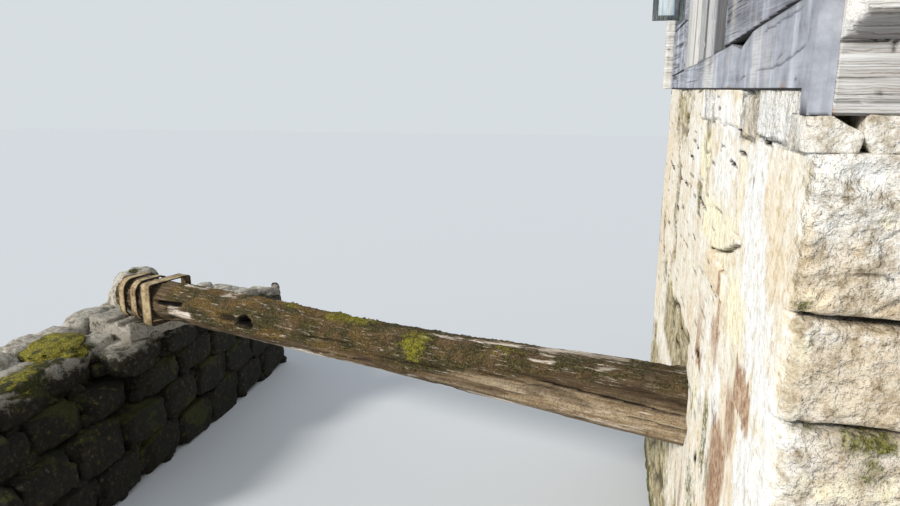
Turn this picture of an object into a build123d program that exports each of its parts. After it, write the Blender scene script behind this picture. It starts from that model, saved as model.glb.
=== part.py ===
from build123d import *
from math import cos, radians, tan
import os

# A small watermill beside its wheel race: a stone storey, a storey of hewn timbers, a boarded
# roof, and the wooden wheel shaft that is left lying from the mill to the far bank of the race.
# X runs across the race into the mill, Y along the race, Z up from the water. While it is being
# built, the face of the race wall is X = 0 and the front end of the mill is Y = 0.

# Stone storey
mill_length = 5440
mill_width = 4800
side_stone_height = 4130
end_stone_drop = 80
stone_thickness = 600
race_batter = 60

# Big blocks of the front end: the beds between their courses, the first upright joint of each
# course from the race, the length of a block, and the open joints
block_beds = (500, 1020, 1500, 1980, 2470, 2925, 3330)
block_first_joints = (680, 1010, 700, 980, 640, 1050, 660, 930)
block_length = 830
block_least_end = 350
block_joint_depth = 35
block_joint_half_width = 16

# Loose stones that level the top of the front end wall under its timbers
levelling_height = 125
levelling_depth = 240
levelling_lengths = (157, 210, 330, 250, 290, 380, 230, 310, 270, 350, 240, 300, 260, 320, 280)
levelling_left_foot_inset = 40
levelling_left_top_inset = 12
levelling_right_foot_inset = 10
levelling_right_top_inset = 104

# Doorway in the land wall, and its timber
door_shift = 0
door_width = 900
door_height = 1850
door_sill_height = 160
door_lintel_height = 200
door_lintel_bearing = 220
door_frame_width = 90
door_frame_depth = 140
door_frame_inset = 180
door_leaf_thickness = 50
door_ledge_height = 140
door_ledge_thickness = 35
door_ledge_inset = 260

# Timber storey: the rise of each course of the side walls at the front, at the bend and at the
# back, and of each course of the end walls on the race side and on the land side
side_overhang = 26
end_setback = 4
timber_thickness = 75
timber_edge = 11
level_edge_slope = 0.25
bend_y = 1800
side_rises = (
    (335, 245, 125),
    (310, 390, 440),
    (420, 400, 400),
    (345, 382, 435),
    (430, 423, 440),
)
front_end_rises = ((245, 200), (330, 375), (310, 290), (345, 360), (330, 320), (360, 375))
back_end_rises = ((165, 190), (130, 170), (228, 240), (330, 300), (300, 330), (347, 310), (340, 300))
tail_length = 80
heel_length = 110

# Chink worn into the top of the lowest timber over the race
chink_front_y = 980
chink_back_y = 1790
chink_depth = 60

# Upright boards that close a wide gap in the courses over the race
board_gap_front_y = 1960
board_gap_to_window = 200
courses_under_boards_count = 1
boarded_courses_count = 3
wall_board_recesses = (40, 14, 20, 8, 14, 8, 18)
wall_board_thickness = 30
wall_board_spacing = 4

# Floor of the timber storey
joist_count = 5
joist_width = 140
joist_depth = 160
floor_thickness = 40
floor_gap = 5

# Windows, one over the race and one over the land
window_width = 600
window_height = 600
window_bottom = 4740
window_back_gap = 420
window_frame_width = 45
window_frame_depth = 68
sash_bar = 48
sash_thickness = 32
glass_thickness = 5
sash_gap = 3
open_sash_angle = 87

# Roof
roof_pitch = 41
rafter_pairs = 5
rafter_width = 110
rafter_depth = 130
rafter_gable_gap = 12
eave_overhang = 330
gable_overhang = 300
roof_thickness = 85
gable_board_thickness = 30
barge_depth = 190
barge_thickness = 32
collar_height = 1000
collar_depth = 120
collar_thickness = 45
tie_beam_depth = 160
tie_beam_width = 140
tie_beam_count = 2
ridge_cap_width = 190
ridge_cap_thickness = 28

# Wheel shaft: places along it from the race wall's face, with its width, height and worn edge
shaft_entry_y = 2404
shaft_skew = 17.8
shaft_underside = 1665
shaft_stations = (
    (-1150, 440, 440, 45),
    (0, 440, 440, 50),
    (1450, 400, 400, 70),
    (2900, 375, 375, 100),
    (4300, 410, 405, 120),
    (6180, 420, 410, 130),
)
pocket_side_gap = 30
pocket_top_gap = 60

# Iron hoops on the outer end of the shaft
hoop_places = (5790, 5985)
hoop_width = 95
hoop_thickness = 14
hoop_corner = 120
hoop_slack = 12
strap_place = 5560
strap_width = 150
strap_thickness = 12
strap_inner_width = 530
strap_inner_height = 438
strap_corner = 22
strap_shift = 45

# Knot hole in the front face of the shaft
knot_place = 4450
knot_radius = 62
knot_depth = 130

# Far bank of the race, a dry stone wall under the outer end of the shaft
bank_face_x = -5420
bank_thickness = 1150
bank_front_y = 1760
bank_length = 5340
bank_batter = 80
bank_slump_depth = 380
bank_slump_height = 900
bank_slump_y = 3550
bank_drop_y = 5200
bank_drop_height = 380
bank_beds = (430, 830, 1170)
bank_first_joints = (420, 190, 540, 300)
bank_stone_length = 680
bank_stone_least = 250
bank_stone_depth = 320
bank_stone_edge = 28
bank_joint_depth = 60
bank_joint_half_width = 12
bank_slump_step = 100
bearing_stone_place = 5715
bearing_stone_length = 700
bearing_stone_width = 820
bearing_stone_depth = 210
bearing_groove_depth = 45
bearing_groove_gap = 8

# Boulder on the bank behind the end of the shaft: the corners of its foot, its height and lean
boulder_foot = ((-6520, 4560), (-6160, 4560), (-5950, 4870), (-5990, 5140), (-6450, 5160))
boulder_height = 500
boulder_lean = 11

# Clearances
seat_gap = 0.3
course_gap = 0.4
cut_margin = 10

# Places that follow from the sizes above
timber_face = -side_overhang
timber_inner = timber_face + timber_thickness
land_timber_face = mill_width - timber_face
land_timber_inner = mill_width - timber_inner
front_timber_face = end_setback
front_timber_inner = end_setback + timber_thickness
back_timber_face = mill_length - front_timber_face
back_timber_inner = mill_length - front_timber_inner
ridge_x = mill_width / 2
plate_height = side_stone_height + sum(rises[0] for rises in side_rises)
window_near_jamb_y = mill_length - window_back_gap - window_width
board_gap_back_y = window_near_jamb_y - board_gap_to_window
door_center_y = mill_length / 2 + door_shift
end_stone_height = side_stone_height - end_stone_drop
block_top = end_stone_height - levelling_height
pitch_slope = tan(radians(roof_pitch))
pitch_cos = cos(radians(roof_pitch))
joist_top = side_stone_height + joist_depth
floor_top = joist_top + floor_thickness
shaft_frame = Location((0, shaft_entry_y, shaft_underside), (0, 0, 180 - shaft_skew))
roof_rest = rafter_depth + seat_gap
bank_top = shaft_underside - seat_gap - bearing_stone_depth
bank_foot = bank_face_x + bank_batter
bank_slump_low = bank_top - bank_slump_height


def block(x0, x1, y0, y1, z0, z1):
    """A plain block between two corners."""
    return Pos((x0 + x1) / 2, (y0 + y1) / 2, (z0 + z1) / 2) * Box(x1 - x0, y1 - y0, z1 - z0)


def across(points, y0, y1):
    """An outline of (x, z) points, drawn across the mill and given its length along the race."""
    wire = Polyline(*[(x, y0, z) for x, z in points], close=True)
    return extrude(make_face(wire), amount=y1 - y0, dir=(0, 1, 0))


def along(points, x0, x1):
    """An outline of (y, z) points, drawn along the race and given its thickness across."""
    wire = Polyline(*[(x0, y, z) for y, z in points], close=True)
    return extrude(make_face(wire), amount=x1 - x0, dir=(1, 0, 0))


def upright(points, z0, z1):
    """An outline of (x, y) points on the level, given its height."""
    wire = Polyline(*[(x, y, z0) for x, y in points], close=True)
    return extrude(make_face(wire), amount=z1 - z0, dir=(0, 0, 1))


def mirrored(shape):
    """The same piece on the land side of the roof."""
    return mirror(shape, about=Plane.YZ.offset(ridge_x))


# Stone storey

def shaft_at(place, column):
    """The shaft's width, height or worn edge at a place between two stations."""
    for (a, *low), (b, *high) in zip(shaft_stations, shaft_stations[1:]):
        if a <= place <= b:
            share = (place - a) / (b - a)
            return low[column] + share * (high[column] - low[column])
    raise ValueError("a place off the shaft")


def corner_rest():
    """What the race wall leaves free at its front top: the place of the first levelling stone,
    and above it the place of the heel of the lowest timber."""
    out = stone_thickness + cut_margin
    heel_end = end_setback + heel_length + course_gap
    stone = block(-out, out, -cut_margin, levelling_depth, block_top, end_stone_height)
    heel = block(-out, out, -cut_margin, heel_end, block_top, side_stone_height + cut_margin)
    return stone + heel


def jointed_front(wall):
    """Opens the joints between the big blocks in the front face of a wall. The beds run right
    across the front end, and the upright joints break from course to course."""
    half = block_joint_half_width
    for bed in block_beds:
        groove = [(-cut_margin, bed - half), (block_joint_depth, bed), (-cut_margin, bed + half)]
        wall -= along(groove, -race_batter - cut_margin, mill_width + cut_margin)
    levels = (0, *block_beds, block_top + cut_margin)
    for first, low, high in zip(block_first_joints, levels, levels[1:]):
        x = first
        while x < mill_width - block_least_end:
            groove = [(x - half, -cut_margin), (x, block_joint_depth), (x + half, -cut_margin)]
            wall -= upright(groove, low, high)
            x += block_length
    return wall


def race_wall():
    """The wall over the race leans a little, and the shaft goes in through a pocket."""
    outline = [
        (-race_batter, 0),
        (stone_thickness, 0),
        (stone_thickness, side_stone_height),
        (0, side_stone_height),
    ]
    wall = across(outline, 0, mill_length)
    width = shaft_at(0, 0) + 2 * pocket_side_gap
    height = shaft_at(0, 1) + pocket_top_gap
    reach = 2 * stone_thickness
    pocket = Pos(0, 0, height / 2 - seat_gap) * Box(2 * reach, width, height)
    return jointed_front(wall - shaft_frame * pocket - corner_rest())


def end_wall(y0, top):
    """A plain wall between the two long walls."""
    inner = mill_width - stone_thickness
    return block(stone_thickness, inner, y0, y0 + stone_thickness, 0, top)


def levelling_stones():
    """A row of rough stones on the front end wall, laid dry. Their ends come to a point at half
    height, so each pair leaves a gap over the point and a gap under it."""
    stones = []
    start = timber_face
    scale = (land_timber_face - timber_face) / sum(levelling_lengths)
    middle = (block_top + end_stone_height) / 2
    last = len(levelling_lengths) - 1
    for i, length in enumerate(levelling_lengths):
        end = start + length * scale
        left_foot = start if i == 0 else start + levelling_left_foot_inset
        left_top = start if i == 0 else start + levelling_left_top_inset
        right_foot = end if i == last else end - levelling_right_foot_inset
        right_top = end if i == last else end - levelling_right_top_inset
        outline = [(left_foot, block_top), (right_foot, block_top), (right_top, end_stone_height),
                   (left_top, end_stone_height)]
        if i != last:
            outline.insert(2, (end - course_gap, middle))
        if i != 0:
            outline.append((start, middle))
        stones.append(across(outline, 0, levelling_depth - seat_gap))
        start = end
    return stones


def land_wall():
    """The land wall has the doorway, with seats for its lintel."""
    x0 = mill_width - stone_thickness
    wall = block(x0, mill_width, 0, mill_length, 0, side_stone_height)
    y0 = door_center_y - door_width / 2
    y1 = door_center_y + door_width / 2
    top = door_sill_height + door_height
    doorway = block(x0, mill_width, y0, y1, 0, top)
    seat = block(x0, mill_width, y0 - door_lintel_bearing, y1 + door_lintel_bearing,
                 top, top + door_lintel_height)
    return jointed_front(wall - doorway - seat - mirrored(corner_rest()))


def door_pieces():
    """Sill stone, lintel, frame and a ledged leaf of boards, shut in the frame."""
    x0 = mill_width - stone_thickness
    y0 = door_center_y - door_width / 2
    y1 = door_center_y + door_width / 2
    top = door_sill_height + door_height
    lintel = block(x0, mill_width, y0 - door_lintel_bearing, y1 + door_lintel_bearing,
                   top, top + door_lintel_height)
    sill = block(x0, mill_width, y0, y1, 0, door_sill_height)
    outer = mill_width - door_frame_inset
    frame = block(outer - door_frame_depth, outer, y0, y1, door_sill_height, top)
    opening = block(outer - door_frame_depth, outer, y0 + door_frame_width,
                    y1 - door_frame_width, door_sill_height, top - door_frame_width)
    leaf_y0 = y0 + door_frame_width + sash_gap
    leaf_y1 = y1 - door_frame_width - sash_gap
    leaf_top = top - door_frame_width - sash_gap
    leaf_x0 = outer - door_leaf_thickness
    leaf = block(leaf_x0, outer, leaf_y0, leaf_y1, door_sill_height, leaf_top)
    ledges = [
        block(leaf_x0 - door_ledge_thickness, leaf_x0, leaf_y0, leaf_y1,
              middle - door_ledge_height / 2, middle + door_ledge_height / 2)
        for middle in (door_sill_height + door_ledge_inset, leaf_top - door_ledge_inset)
    ]
    return {
        "door_lintel": lintel,
        "door_sill_stone": sill,
        "door_frame": frame - opening,
        "door_leaf": leaf,
        "door_ledges": ledges,
    }


# Timber storey

def side_joint(course, station):
    """The height of the joint under a course of the side walls, at one of three stations."""
    return side_stone_height + sum(rises[station] for rises in side_rises[:course])


def side_joint_at(course, y):
    """The same height at any place along the wall."""
    if y < bend_y:
        station, first, last = 0, front_timber_face, bend_y
    else:
        station, first, last = 1, bend_y, back_timber_inner
    share = (y - first) / (last - first)
    low = side_joint(course, station)
    return low + share * (side_joint(course, station + 1) - low)


def worn_edges(timber, axis, face_place):
    """Takes the long edges off the outer face of a hewn timber."""
    edges = timber.edges().filter_by_position(axis, face_place - course_gap, face_place + course_gap)
    long_edges = [edge for edge in edges
                  if abs((edge @ 1 - edge @ 0).Z) < edge.length * level_edge_slope
                  and edge.length > heel_length]
    return chamfer(long_edges, timber_edge)


def window_cut(x0, x1):
    """The hole for one window through a side wall."""
    y0 = window_near_jamb_y
    return block(x0, x1, y0, y0 + window_width, window_bottom, window_bottom + window_height)


def chink(x0, x1):
    """The hollow in the top of the lowest timber over the race."""
    middle = (chink_front_y + chink_back_y) / 2
    outline = [(y, side_joint_at(1, y) + cut_margin) for y in (chink_front_y, chink_back_y)]
    outline.append((middle, side_joint_at(1, middle) - chink_depth))
    return along(outline, x0, x1)


def side_timbers(x0, x1, outer_x, boarded):
    """A side wall of the timber storey. Its timbers run out to the front, where their ends show
    beside the end wall's, and stop behind the end wall at the back. The lowest one has a heel
    that reaches down to the first levelling stone. Over the race the middle courses are broken
    off at the upright boards."""
    timbers = []
    front = front_timber_face
    back = back_timber_inner - course_gap
    first_boarded = courses_under_boards_count
    first_over = first_boarded + boarded_courses_count
    for course in range(len(side_rises)):
        low = [side_joint(course, station) + (course_gap / 2 if course else seat_gap)
               for station in range(3)]
        high = [side_joint(course + 1, station) - course_gap / 2 for station in range(3)]
        if course == len(side_rises) - 1:
            high = [plate_height] * 3
        outline = [(front, low[0]), (bend_y, low[1]), (back, low[2]),
                   (back, high[2]), (bend_y, high[1]), (front, high[0])]
        timber = worn_edges(along(outline, x0, x1), Axis.X, outer_x)
        if course == 0:
            timber += block(x0, x1, front, front + heel_length, end_stone_height + seat_gap,
                            low[0] + timber_edge)
        if boarded and course == 0:
            timber -= chink(x0, x1)
        if boarded and first_boarded <= course < first_over:
            timber -= block(x0, x1, board_gap_front_y, board_gap_back_y, low[2] - timber_thickness,
                            high[1] + timber_thickness)
        timbers += (timber - window_cut(x0, x1)).solids()
    return timbers


def race_side_boards():
    """Upright boards that stand on the lowest timber, each set in by its own depth."""
    boards = []
    first_boarded = courses_under_boards_count
    first_over = first_boarded + boarded_courses_count
    pitch = (board_gap_back_y - board_gap_front_y) / len(wall_board_recesses)
    for i, recess in enumerate(wall_board_recesses):
        y0 = board_gap_front_y + i * pitch + wall_board_spacing / 2
        y1 = y0 + pitch - wall_board_spacing
        outline = [(y0, side_joint_at(first_boarded, y0) + course_gap / 2),
                   (y1, side_joint_at(first_boarded, y1) + course_gap / 2),
                   (y1, side_joint_at(first_over, y1) - course_gap / 2),
                   (y0, side_joint_at(first_over, y0) - course_gap / 2)]
        x0 = timber_face + recess
        boards.append(along(outline, x0, x0 + wall_board_thickness))
    return boards


def end_timbers(rises, base, x0, x1, y0, y1, outer_y):
    """The timbers of an end wall, from x0 to x1, each thicker at one end than at the other."""
    timbers = []
    for course in range(len(rises)):
        low = [base + sum(pair[side] for pair in rises[:course])
               + (course_gap / 2 if course else seat_gap) for side in range(2)]
        high = [base + sum(pair[side] for pair in rises[:course + 1]) - course_gap / 2
                for side in range(2)]
        if course == len(rises) - 1:
            high = [plate_height] * 2
        outline = [(x0, low[0]), (x1, low[1]), (x1, high[1]), (x0, high[0])]
        timbers.append(worn_edges(across(outline, y0, y1), Axis.Y, outer_y))
    return timbers


def front_end_timbers():
    """The front end wall stands between the side walls."""
    return end_timbers(front_end_rises, end_stone_height, timber_inner + course_gap,
                       land_timber_inner - course_gap, front_timber_face, front_timber_inner,
                       front_timber_face)


def back_end_timbers():
    """The back end wall runs past both side walls and ends in short tails. The tails of its top
    timber are cut off under the slope of the roof."""
    timbers = end_timbers(back_end_rises, side_stone_height, timber_face - tail_length,
                          land_timber_face + tail_length, back_timber_inner, back_timber_face,
                          back_timber_face)
    tip = timber_face - tail_length - cut_margin
    above = across([(tip, slope(tip)), (timber_face, slope(timber_face, rafter_depth)),
                    (timber_face, plate_height + rafter_depth), (tip, plate_height + rafter_depth)],
                   back_timber_inner - cut_margin, back_timber_face + cut_margin)
    timbers[-1] = timbers[-1] - above - mirrored(above)
    return timbers


def floor_joists():
    """Joists across the mill, their ends on the ledge of the stone walls."""
    joists = []
    first = stone_thickness + joist_width
    last = mill_length - stone_thickness - joist_width
    for i in range(joist_count):
        y = first + (last - first) * i / (joist_count - 1)
        joists.append(block(timber_inner + floor_gap, land_timber_inner - floor_gap,
                            y - joist_width / 2, y + joist_width / 2,
                            side_stone_height, joist_top))
    return joists


def floor_boards():
    """One layer of boards on the joists."""
    return block(timber_inner + floor_gap, land_timber_inner - floor_gap,
                 front_timber_inner + floor_gap, back_timber_inner - floor_gap, joist_top,
                 floor_top)


# Windows

def rail_frame(width, height, bar, thickness):
    """A rectangular frame standing in the plane of Y and Z, from its corner at the origin."""
    outer = Pos(thickness / 2, width / 2, height / 2) * Box(thickness, width, height)
    hole = Pos(thickness / 2, width / 2, height / 2) * Box(
        2 * thickness, width - 2 * bar, height - 2 * bar)
    return outer - hole


def casement(width, height):
    """A sash of four rails and its pane, let into the middle of the rails."""
    sash = rail_frame(width, height, sash_bar, sash_thickness)
    pane = Pos(sash_thickness / 2, width / 2, height / 2) * Box(
        glass_thickness, width - 2 * sash_bar, height - 2 * sash_bar)
    return sash, pane


def window_pieces():
    """Each window is a frame with two casements, all shut but the far one over the race, which
    stands open on its hinges at the far jamb."""
    clear_width = window_width - 2 * (seat_gap + window_frame_width)
    clear_height = window_height - 2 * (seat_gap + window_frame_width)
    frame = rail_frame(window_width - 2 * seat_gap, window_height - 2 * seat_gap,
                       window_frame_width, window_frame_depth)
    sash_width = (clear_width - sash_gap) / 2 - seat_gap
    sash, pane = casement(sash_width, clear_height - sash_gap)
    low = window_bottom + seat_gap + window_frame_width + seat_gap
    near = window_near_jamb_y + seat_gap + window_frame_width
    far = near + clear_width
    frame_place = Pos(timber_face, window_near_jamb_y + seat_gap, window_bottom + seat_gap)
    near_place = Pos(timber_face, near + seat_gap, low)
    far_place = Pos(timber_face, far - seat_gap - sash_width, low)
    hinge_x = timber_face - seat_gap - sash_thickness * cos(radians(open_sash_angle))
    open_place = Pos(hinge_x, far, low) * Rot(0, 0, open_sash_angle)
    return {
        "race_window_frame": frame_place * frame,
        "race_window_open_sash": open_place * sash,
        "race_window_shut_sash": near_place * sash,
        "race_window_glass": [open_place * pane, near_place * pane],
        "land_window_frame": mirrored(frame_place * frame),
        "land_window_sashes": [mirrored(near_place * sash), mirrored(far_place * sash)],
        "land_window_glass": [mirrored(near_place * pane), mirrored(far_place * pane)],
    }


# Roof

def slope(x, rise=0):
    """The height over a point of the race-side rafters' underside, raised square to the slope."""
    return plate_height + (x - timber_inner) * pitch_slope + rise / pitch_cos


def rafter(y0):
    """A rafter with a seat cut over the top timber, and its plumb cut at the ridge."""
    eave_x = timber_face - eave_overhang
    outline = [
        (timber_inner, plate_height),
        (ridge_x, slope(ridge_x)),
        (ridge_x, slope(ridge_x, rafter_depth)),
        (eave_x, slope(eave_x, rafter_depth)),
        (eave_x, slope(eave_x)),
        (timber_face, slope(timber_face)),
        (timber_face, plate_height),
    ]
    return across(outline, y0, y0 + rafter_width)


def rafter_places():
    """Where each pair of rafters starts along the mill."""
    first = front_timber_inner + rafter_gable_gap
    last = back_timber_inner - rafter_gable_gap - rafter_width
    return [first + (last - first) * i / (rafter_pairs - 1) for i in range(rafter_pairs)]


def roof_slope():
    """The boards and the weathered covering of one slope, as one thickness."""
    eave_x = timber_face - eave_overhang
    top_x = ridge_x - seat_gap / 2
    outline = [
        (eave_x, slope(eave_x, roof_rest)),
        (top_x, slope(top_x, roof_rest)),
        (top_x, slope(top_x, roof_rest + roof_thickness)),
        (eave_x, slope(eave_x, roof_rest + roof_thickness)),
    ]
    return across(outline, -gable_overhang, mill_length + gable_overhang)


def ridge_cap():
    """Two boards that meet over the ridge."""
    top = roof_rest + roof_thickness + seat_gap
    edge_x = ridge_x - ridge_cap_width * pitch_cos
    half = [
        (edge_x, slope(edge_x, top)),
        (ridge_x, slope(ridge_x, top)),
        (ridge_x, slope(ridge_x, top + ridge_cap_thickness)),
        (edge_x, slope(edge_x, top + ridge_cap_thickness)),
    ]
    board = across(half, -gable_overhang, mill_length + gable_overhang)
    return board + mirrored(board)


def barge_board(y0):
    """A board that covers the sawn ends of the roof boards at one verge."""
    top = roof_rest + roof_thickness
    eave_x = timber_face - eave_overhang
    outline = [
        (eave_x, slope(eave_x, top - barge_depth)),
        (ridge_x, slope(ridge_x, top - barge_depth)),
        (ridge_x, slope(ridge_x, top)),
        (eave_x, slope(eave_x, top)),
    ]
    board = across(outline, y0, y0 + barge_thickness)
    return board + mirrored(board)


def gable_boards(y0):
    """Upright boards that close a gable, from the top timber to the roof boards."""
    outline = [
        (timber_face, plate_height),
        (timber_face, slope(timber_face, rafter_depth)),
        (ridge_x, slope(ridge_x, rafter_depth)),
        (land_timber_face, slope(timber_face, rafter_depth)),
        (land_timber_face, plate_height),
    ]
    return across(outline, y0, y0 + gable_board_thickness)


def collar_ties():
    """A short board nailed across each pair of rafters, above head height."""
    low = plate_height + collar_height
    high = low + collar_depth
    reach = (low - plate_height - rafter_depth / pitch_cos) / pitch_slope + timber_inner
    top_reach = (high - plate_height - rafter_depth / pitch_cos) / pitch_slope + timber_inner
    outline = [(reach, low), (top_reach, high), (2 * ridge_x - top_reach, high),
               (2 * ridge_x - reach, low)]
    return [across(outline, y + rafter_width, y + rafter_width + collar_thickness)
            for y in rafter_places()]


def tie_beams():
    """Beams across the mill on the top timbers, their ends cut to the slope of the roof."""
    high = plate_height + tie_beam_depth
    heel = slope(timber_face, rafter_depth)
    top_x = timber_face + (high - heel) / pitch_slope
    outline = [(timber_face, plate_height), (timber_face, heel), (top_x, high),
               (2 * ridge_x - top_x, high), (land_timber_face, heel),
               (land_timber_face, plate_height)]
    pairs = [round((i + 1) * (rafter_pairs - 1) / (tie_beam_count + 1))
             for i in range(tie_beam_count)]
    places = [rafter_places()[pair] - tie_beam_width for pair in pairs]
    return [across(outline, y, y + tie_beam_width) for y in places]


# Wheel shaft

def hewn_section(width, height, worn):
    """The shaft's section with its four edges worn off, standing on its underside."""
    half = width / 2
    points = [(-half + worn, 0), (half - worn, 0), (half, worn), (half, height - worn),
              (half - worn, height), (-half + worn, height), (-half, height - worn), (-half, worn)]
    return Polyline(*points, close=True)


def shaft_log():
    """A hewn log that is squared at the mill, thinner and rounder over the race."""
    sections = []
    for place, width, height, worn in shaft_stations:
        plane = Plane(origin=(place, 0, 0), x_dir=(0, 1, 0), z_dir=(1, 0, 0))
        sections.append(plane * make_face(hewn_section(width, height, worn)))
    log = loft(sections, ruled=True)
    side = shaft_at(knot_place, 0) / 2
    knot = Pos(knot_place, side, shaft_at(knot_place, 1) / 2) * Rot(90, 0, 0) * Cylinder(
        knot_radius, 2 * knot_depth)
    return shaft_frame * (log - knot)


def band(place, width, inner_width, inner_height, thickness, corner, low, shift=0):
    """A closed iron band round the shaft, a flat bar bent to rounded corners."""
    plane = Plane(origin=(place, -shift, low + inner_height / 2), x_dir=(0, 1, 0), z_dir=(1, 0, 0))
    outer = RectangleRounded(inner_width + 2 * thickness, inner_height + 2 * thickness,
                             corner + thickness)
    ring = plane * (outer - RectangleRounded(inner_width, inner_height, corner))
    return shaft_frame * extrude(ring, amount=width, dir=(1, 0, 0))


def hoop(place):
    """A hoop that hangs on the worn log, slack at its sides and below."""
    far = place + hoop_width
    high = max(shaft_at(place, 1), shaft_at(far, 1)) + seat_gap
    wide = max(shaft_at(place, 0), shaft_at(far, 0)) + 2 * hoop_slack
    low = -hoop_slack
    return band(place, hoop_width, wide, high - low, hoop_thickness, hoop_corner, low)


def loose_strap():
    """The squarer strap that has come loose and hangs wide of the log on the far side."""
    far = strap_place + strap_width
    high = max(shaft_at(strap_place, 1), shaft_at(far, 1)) + seat_gap
    return band(strap_place, strap_width, strap_inner_width, strap_inner_height,
                strap_thickness, strap_corner, high - strap_inner_height, strap_shift)


# Far bank of the race

def bank_stone_face(y, z):
    """Where the face of a bank stone stands: on the batter, or further back where the wall has
    slumped."""
    upright_face = bank_foot - bank_batter * z / bank_top
    if y > bank_slump_y or z < bank_slump_low:
        return upright_face
    slumped = (bank_batter + bank_slump_depth) * (z - bank_slump_low) / bank_slump_height
    return bank_foot - max(slumped, bank_foot - upright_face)


def bank_stones():
    """The big stones at the face, in courses, each a block with the edges of its face worn off."""
    stones = []
    end = bank_front_y + bank_length
    levels = (0, *bank_beds, bank_top)
    for first, low, high in zip(bank_first_joints, levels, levels[1:]):
        joints = [bank_front_y]
        at = bank_front_y + first
        while at < end - bank_stone_least:
            joints.append(at)
            at += bank_stone_length
        joints.append(end)
        base = low + bank_joint_half_width if low else 0
        head = high if high == bank_top else high - bank_joint_half_width
        for y0, y1 in zip(joints, joints[1:]):
            face = bank_stone_face((y0 + y1) / 2, (low + high) / 2)
            stone = block(face - bank_stone_depth, face, y0 + bank_joint_half_width,
                          y1 - bank_joint_half_width, base, head)
            stones.append(chamfer(stone.faces().sort_by(Axis.X)[-1].edges(), bank_stone_edge))
    return stones


def bank_wall():
    """Dry stone, nearly upright at the race, with its top slumped back at the front end and
    lower at the back end. The core behind the face stones shows in their joints."""
    back = bank_face_x - bank_thickness
    y0 = bank_front_y
    y1 = bank_front_y + bank_length
    core_foot = bank_foot - bank_joint_depth
    core_top = bank_face_x - bank_joint_depth
    body = across([(back, 0), (core_foot, 0), (core_top, bank_top), (back, bank_top)], y0, y1)
    slump = across([(bank_foot, bank_slump_low), (bank_foot, bank_top),
                    (core_top - bank_slump_depth - bank_slump_step, bank_top),
                    (core_foot - bank_slump_step, bank_slump_low)], y0, bank_slump_y)
    drop = along([(bank_drop_y, bank_top), (y1, bank_top - bank_drop_height), (y1, bank_top)],
                 back, bank_foot)
    return (body - slump + bank_stones()) - drop


def bearing_stone():
    """The flat stone that the end of the shaft lies on, with grooves worn by the two hoops."""
    middle = bearing_stone_place + bearing_stone_length / 2
    stone = Pos(middle, 0, -seat_gap - bearing_stone_depth / 2) * Box(
        bearing_stone_length, bearing_stone_width, bearing_stone_depth)
    for place in hoop_places:
        groove_width = hoop_width + 2 * bearing_groove_gap
        stone -= Pos(place + hoop_width / 2, 0, 0) * Box(
            groove_width, bearing_stone_width, 2 * bearing_groove_depth)
    return shaft_frame * stone


def end_boulder():
    """A boulder that leans in towards its top."""
    wire = Polyline(*[(x, y, bank_top + seat_gap) for x, y in boulder_foot], close=True)
    return extrude(make_face(wire), amount=boulder_height, dir=(0, 0, 1), taper=boulder_lean)


pieces = {
    "race_wall": race_wall(),
    "front_end_wall": jointed_front(end_wall(0, block_top)),
    "levelling_stones": levelling_stones(),
    "back_end_wall": end_wall(mill_length - stone_thickness, side_stone_height),
    "land_wall": land_wall(),
    "race_side_timbers": side_timbers(timber_face, timber_inner, timber_face, True),
    "race_side_boards": race_side_boards(),
    "land_side_timbers": side_timbers(land_timber_inner, land_timber_face, land_timber_face, False),
    "front_end_timbers": front_end_timbers(),
    "back_end_timbers": back_end_timbers(),
    "floor_joists": floor_joists(),
    "floor_boards": floor_boards(),
    "rafters_race_side": [rafter(y) for y in rafter_places()],
    "rafters_land_side": [mirrored(rafter(y)) for y in rafter_places()],
    "collar_ties": collar_ties(),
    "tie_beams": tie_beams(),
    "roof_race_slope": roof_slope(),
    "roof_land_slope": mirrored(roof_slope()),
    "ridge_cap": ridge_cap(),
    "barge_boards_front": barge_board(-gable_overhang - barge_thickness),
    "barge_boards_back": barge_board(mill_length + gable_overhang),
    "gable_boards_front": gable_boards(front_timber_face),
    "gable_boards_back": gable_boards(back_timber_face - gable_board_thickness),
    "shaft_log": shaft_log(),
    "hoop_inner": hoop(hoop_places[0]),
    "hoop_outer": hoop(hoop_places[1]),
    "loose_strap": loose_strap(),
    "bank_wall": bank_wall(),
    "bearing_stone": bearing_stone(),
    "end_boulder": end_boulder(),
}
pieces.update(door_pieces())
pieces.update(window_pieces())

solids = {
    name: Compound(children=list(piece)) if isinstance(piece, list) else piece
    for name, piece in pieces.items()
}

# The origin is under the middle of the whole model's box.
whole = Compound(children=[Compound(children=shape.solids()) for shape in solids.values()])
box = whole.bounding_box()
to_origin = Pos(-(box.min.X + box.max.X) / 2, -(box.min.Y + box.max.Y) / 2, 0)

os.makedirs("parts", exist_ok=True)
for name, shape in solids.items():
    export_step(to_origin * shape, f"parts/{name}.step")
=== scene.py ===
import random
from math import atan2, cos, hypot, pi, radians, sin

import bmesh
import bpy
from mathutils import Matrix, Vector, noise


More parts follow.
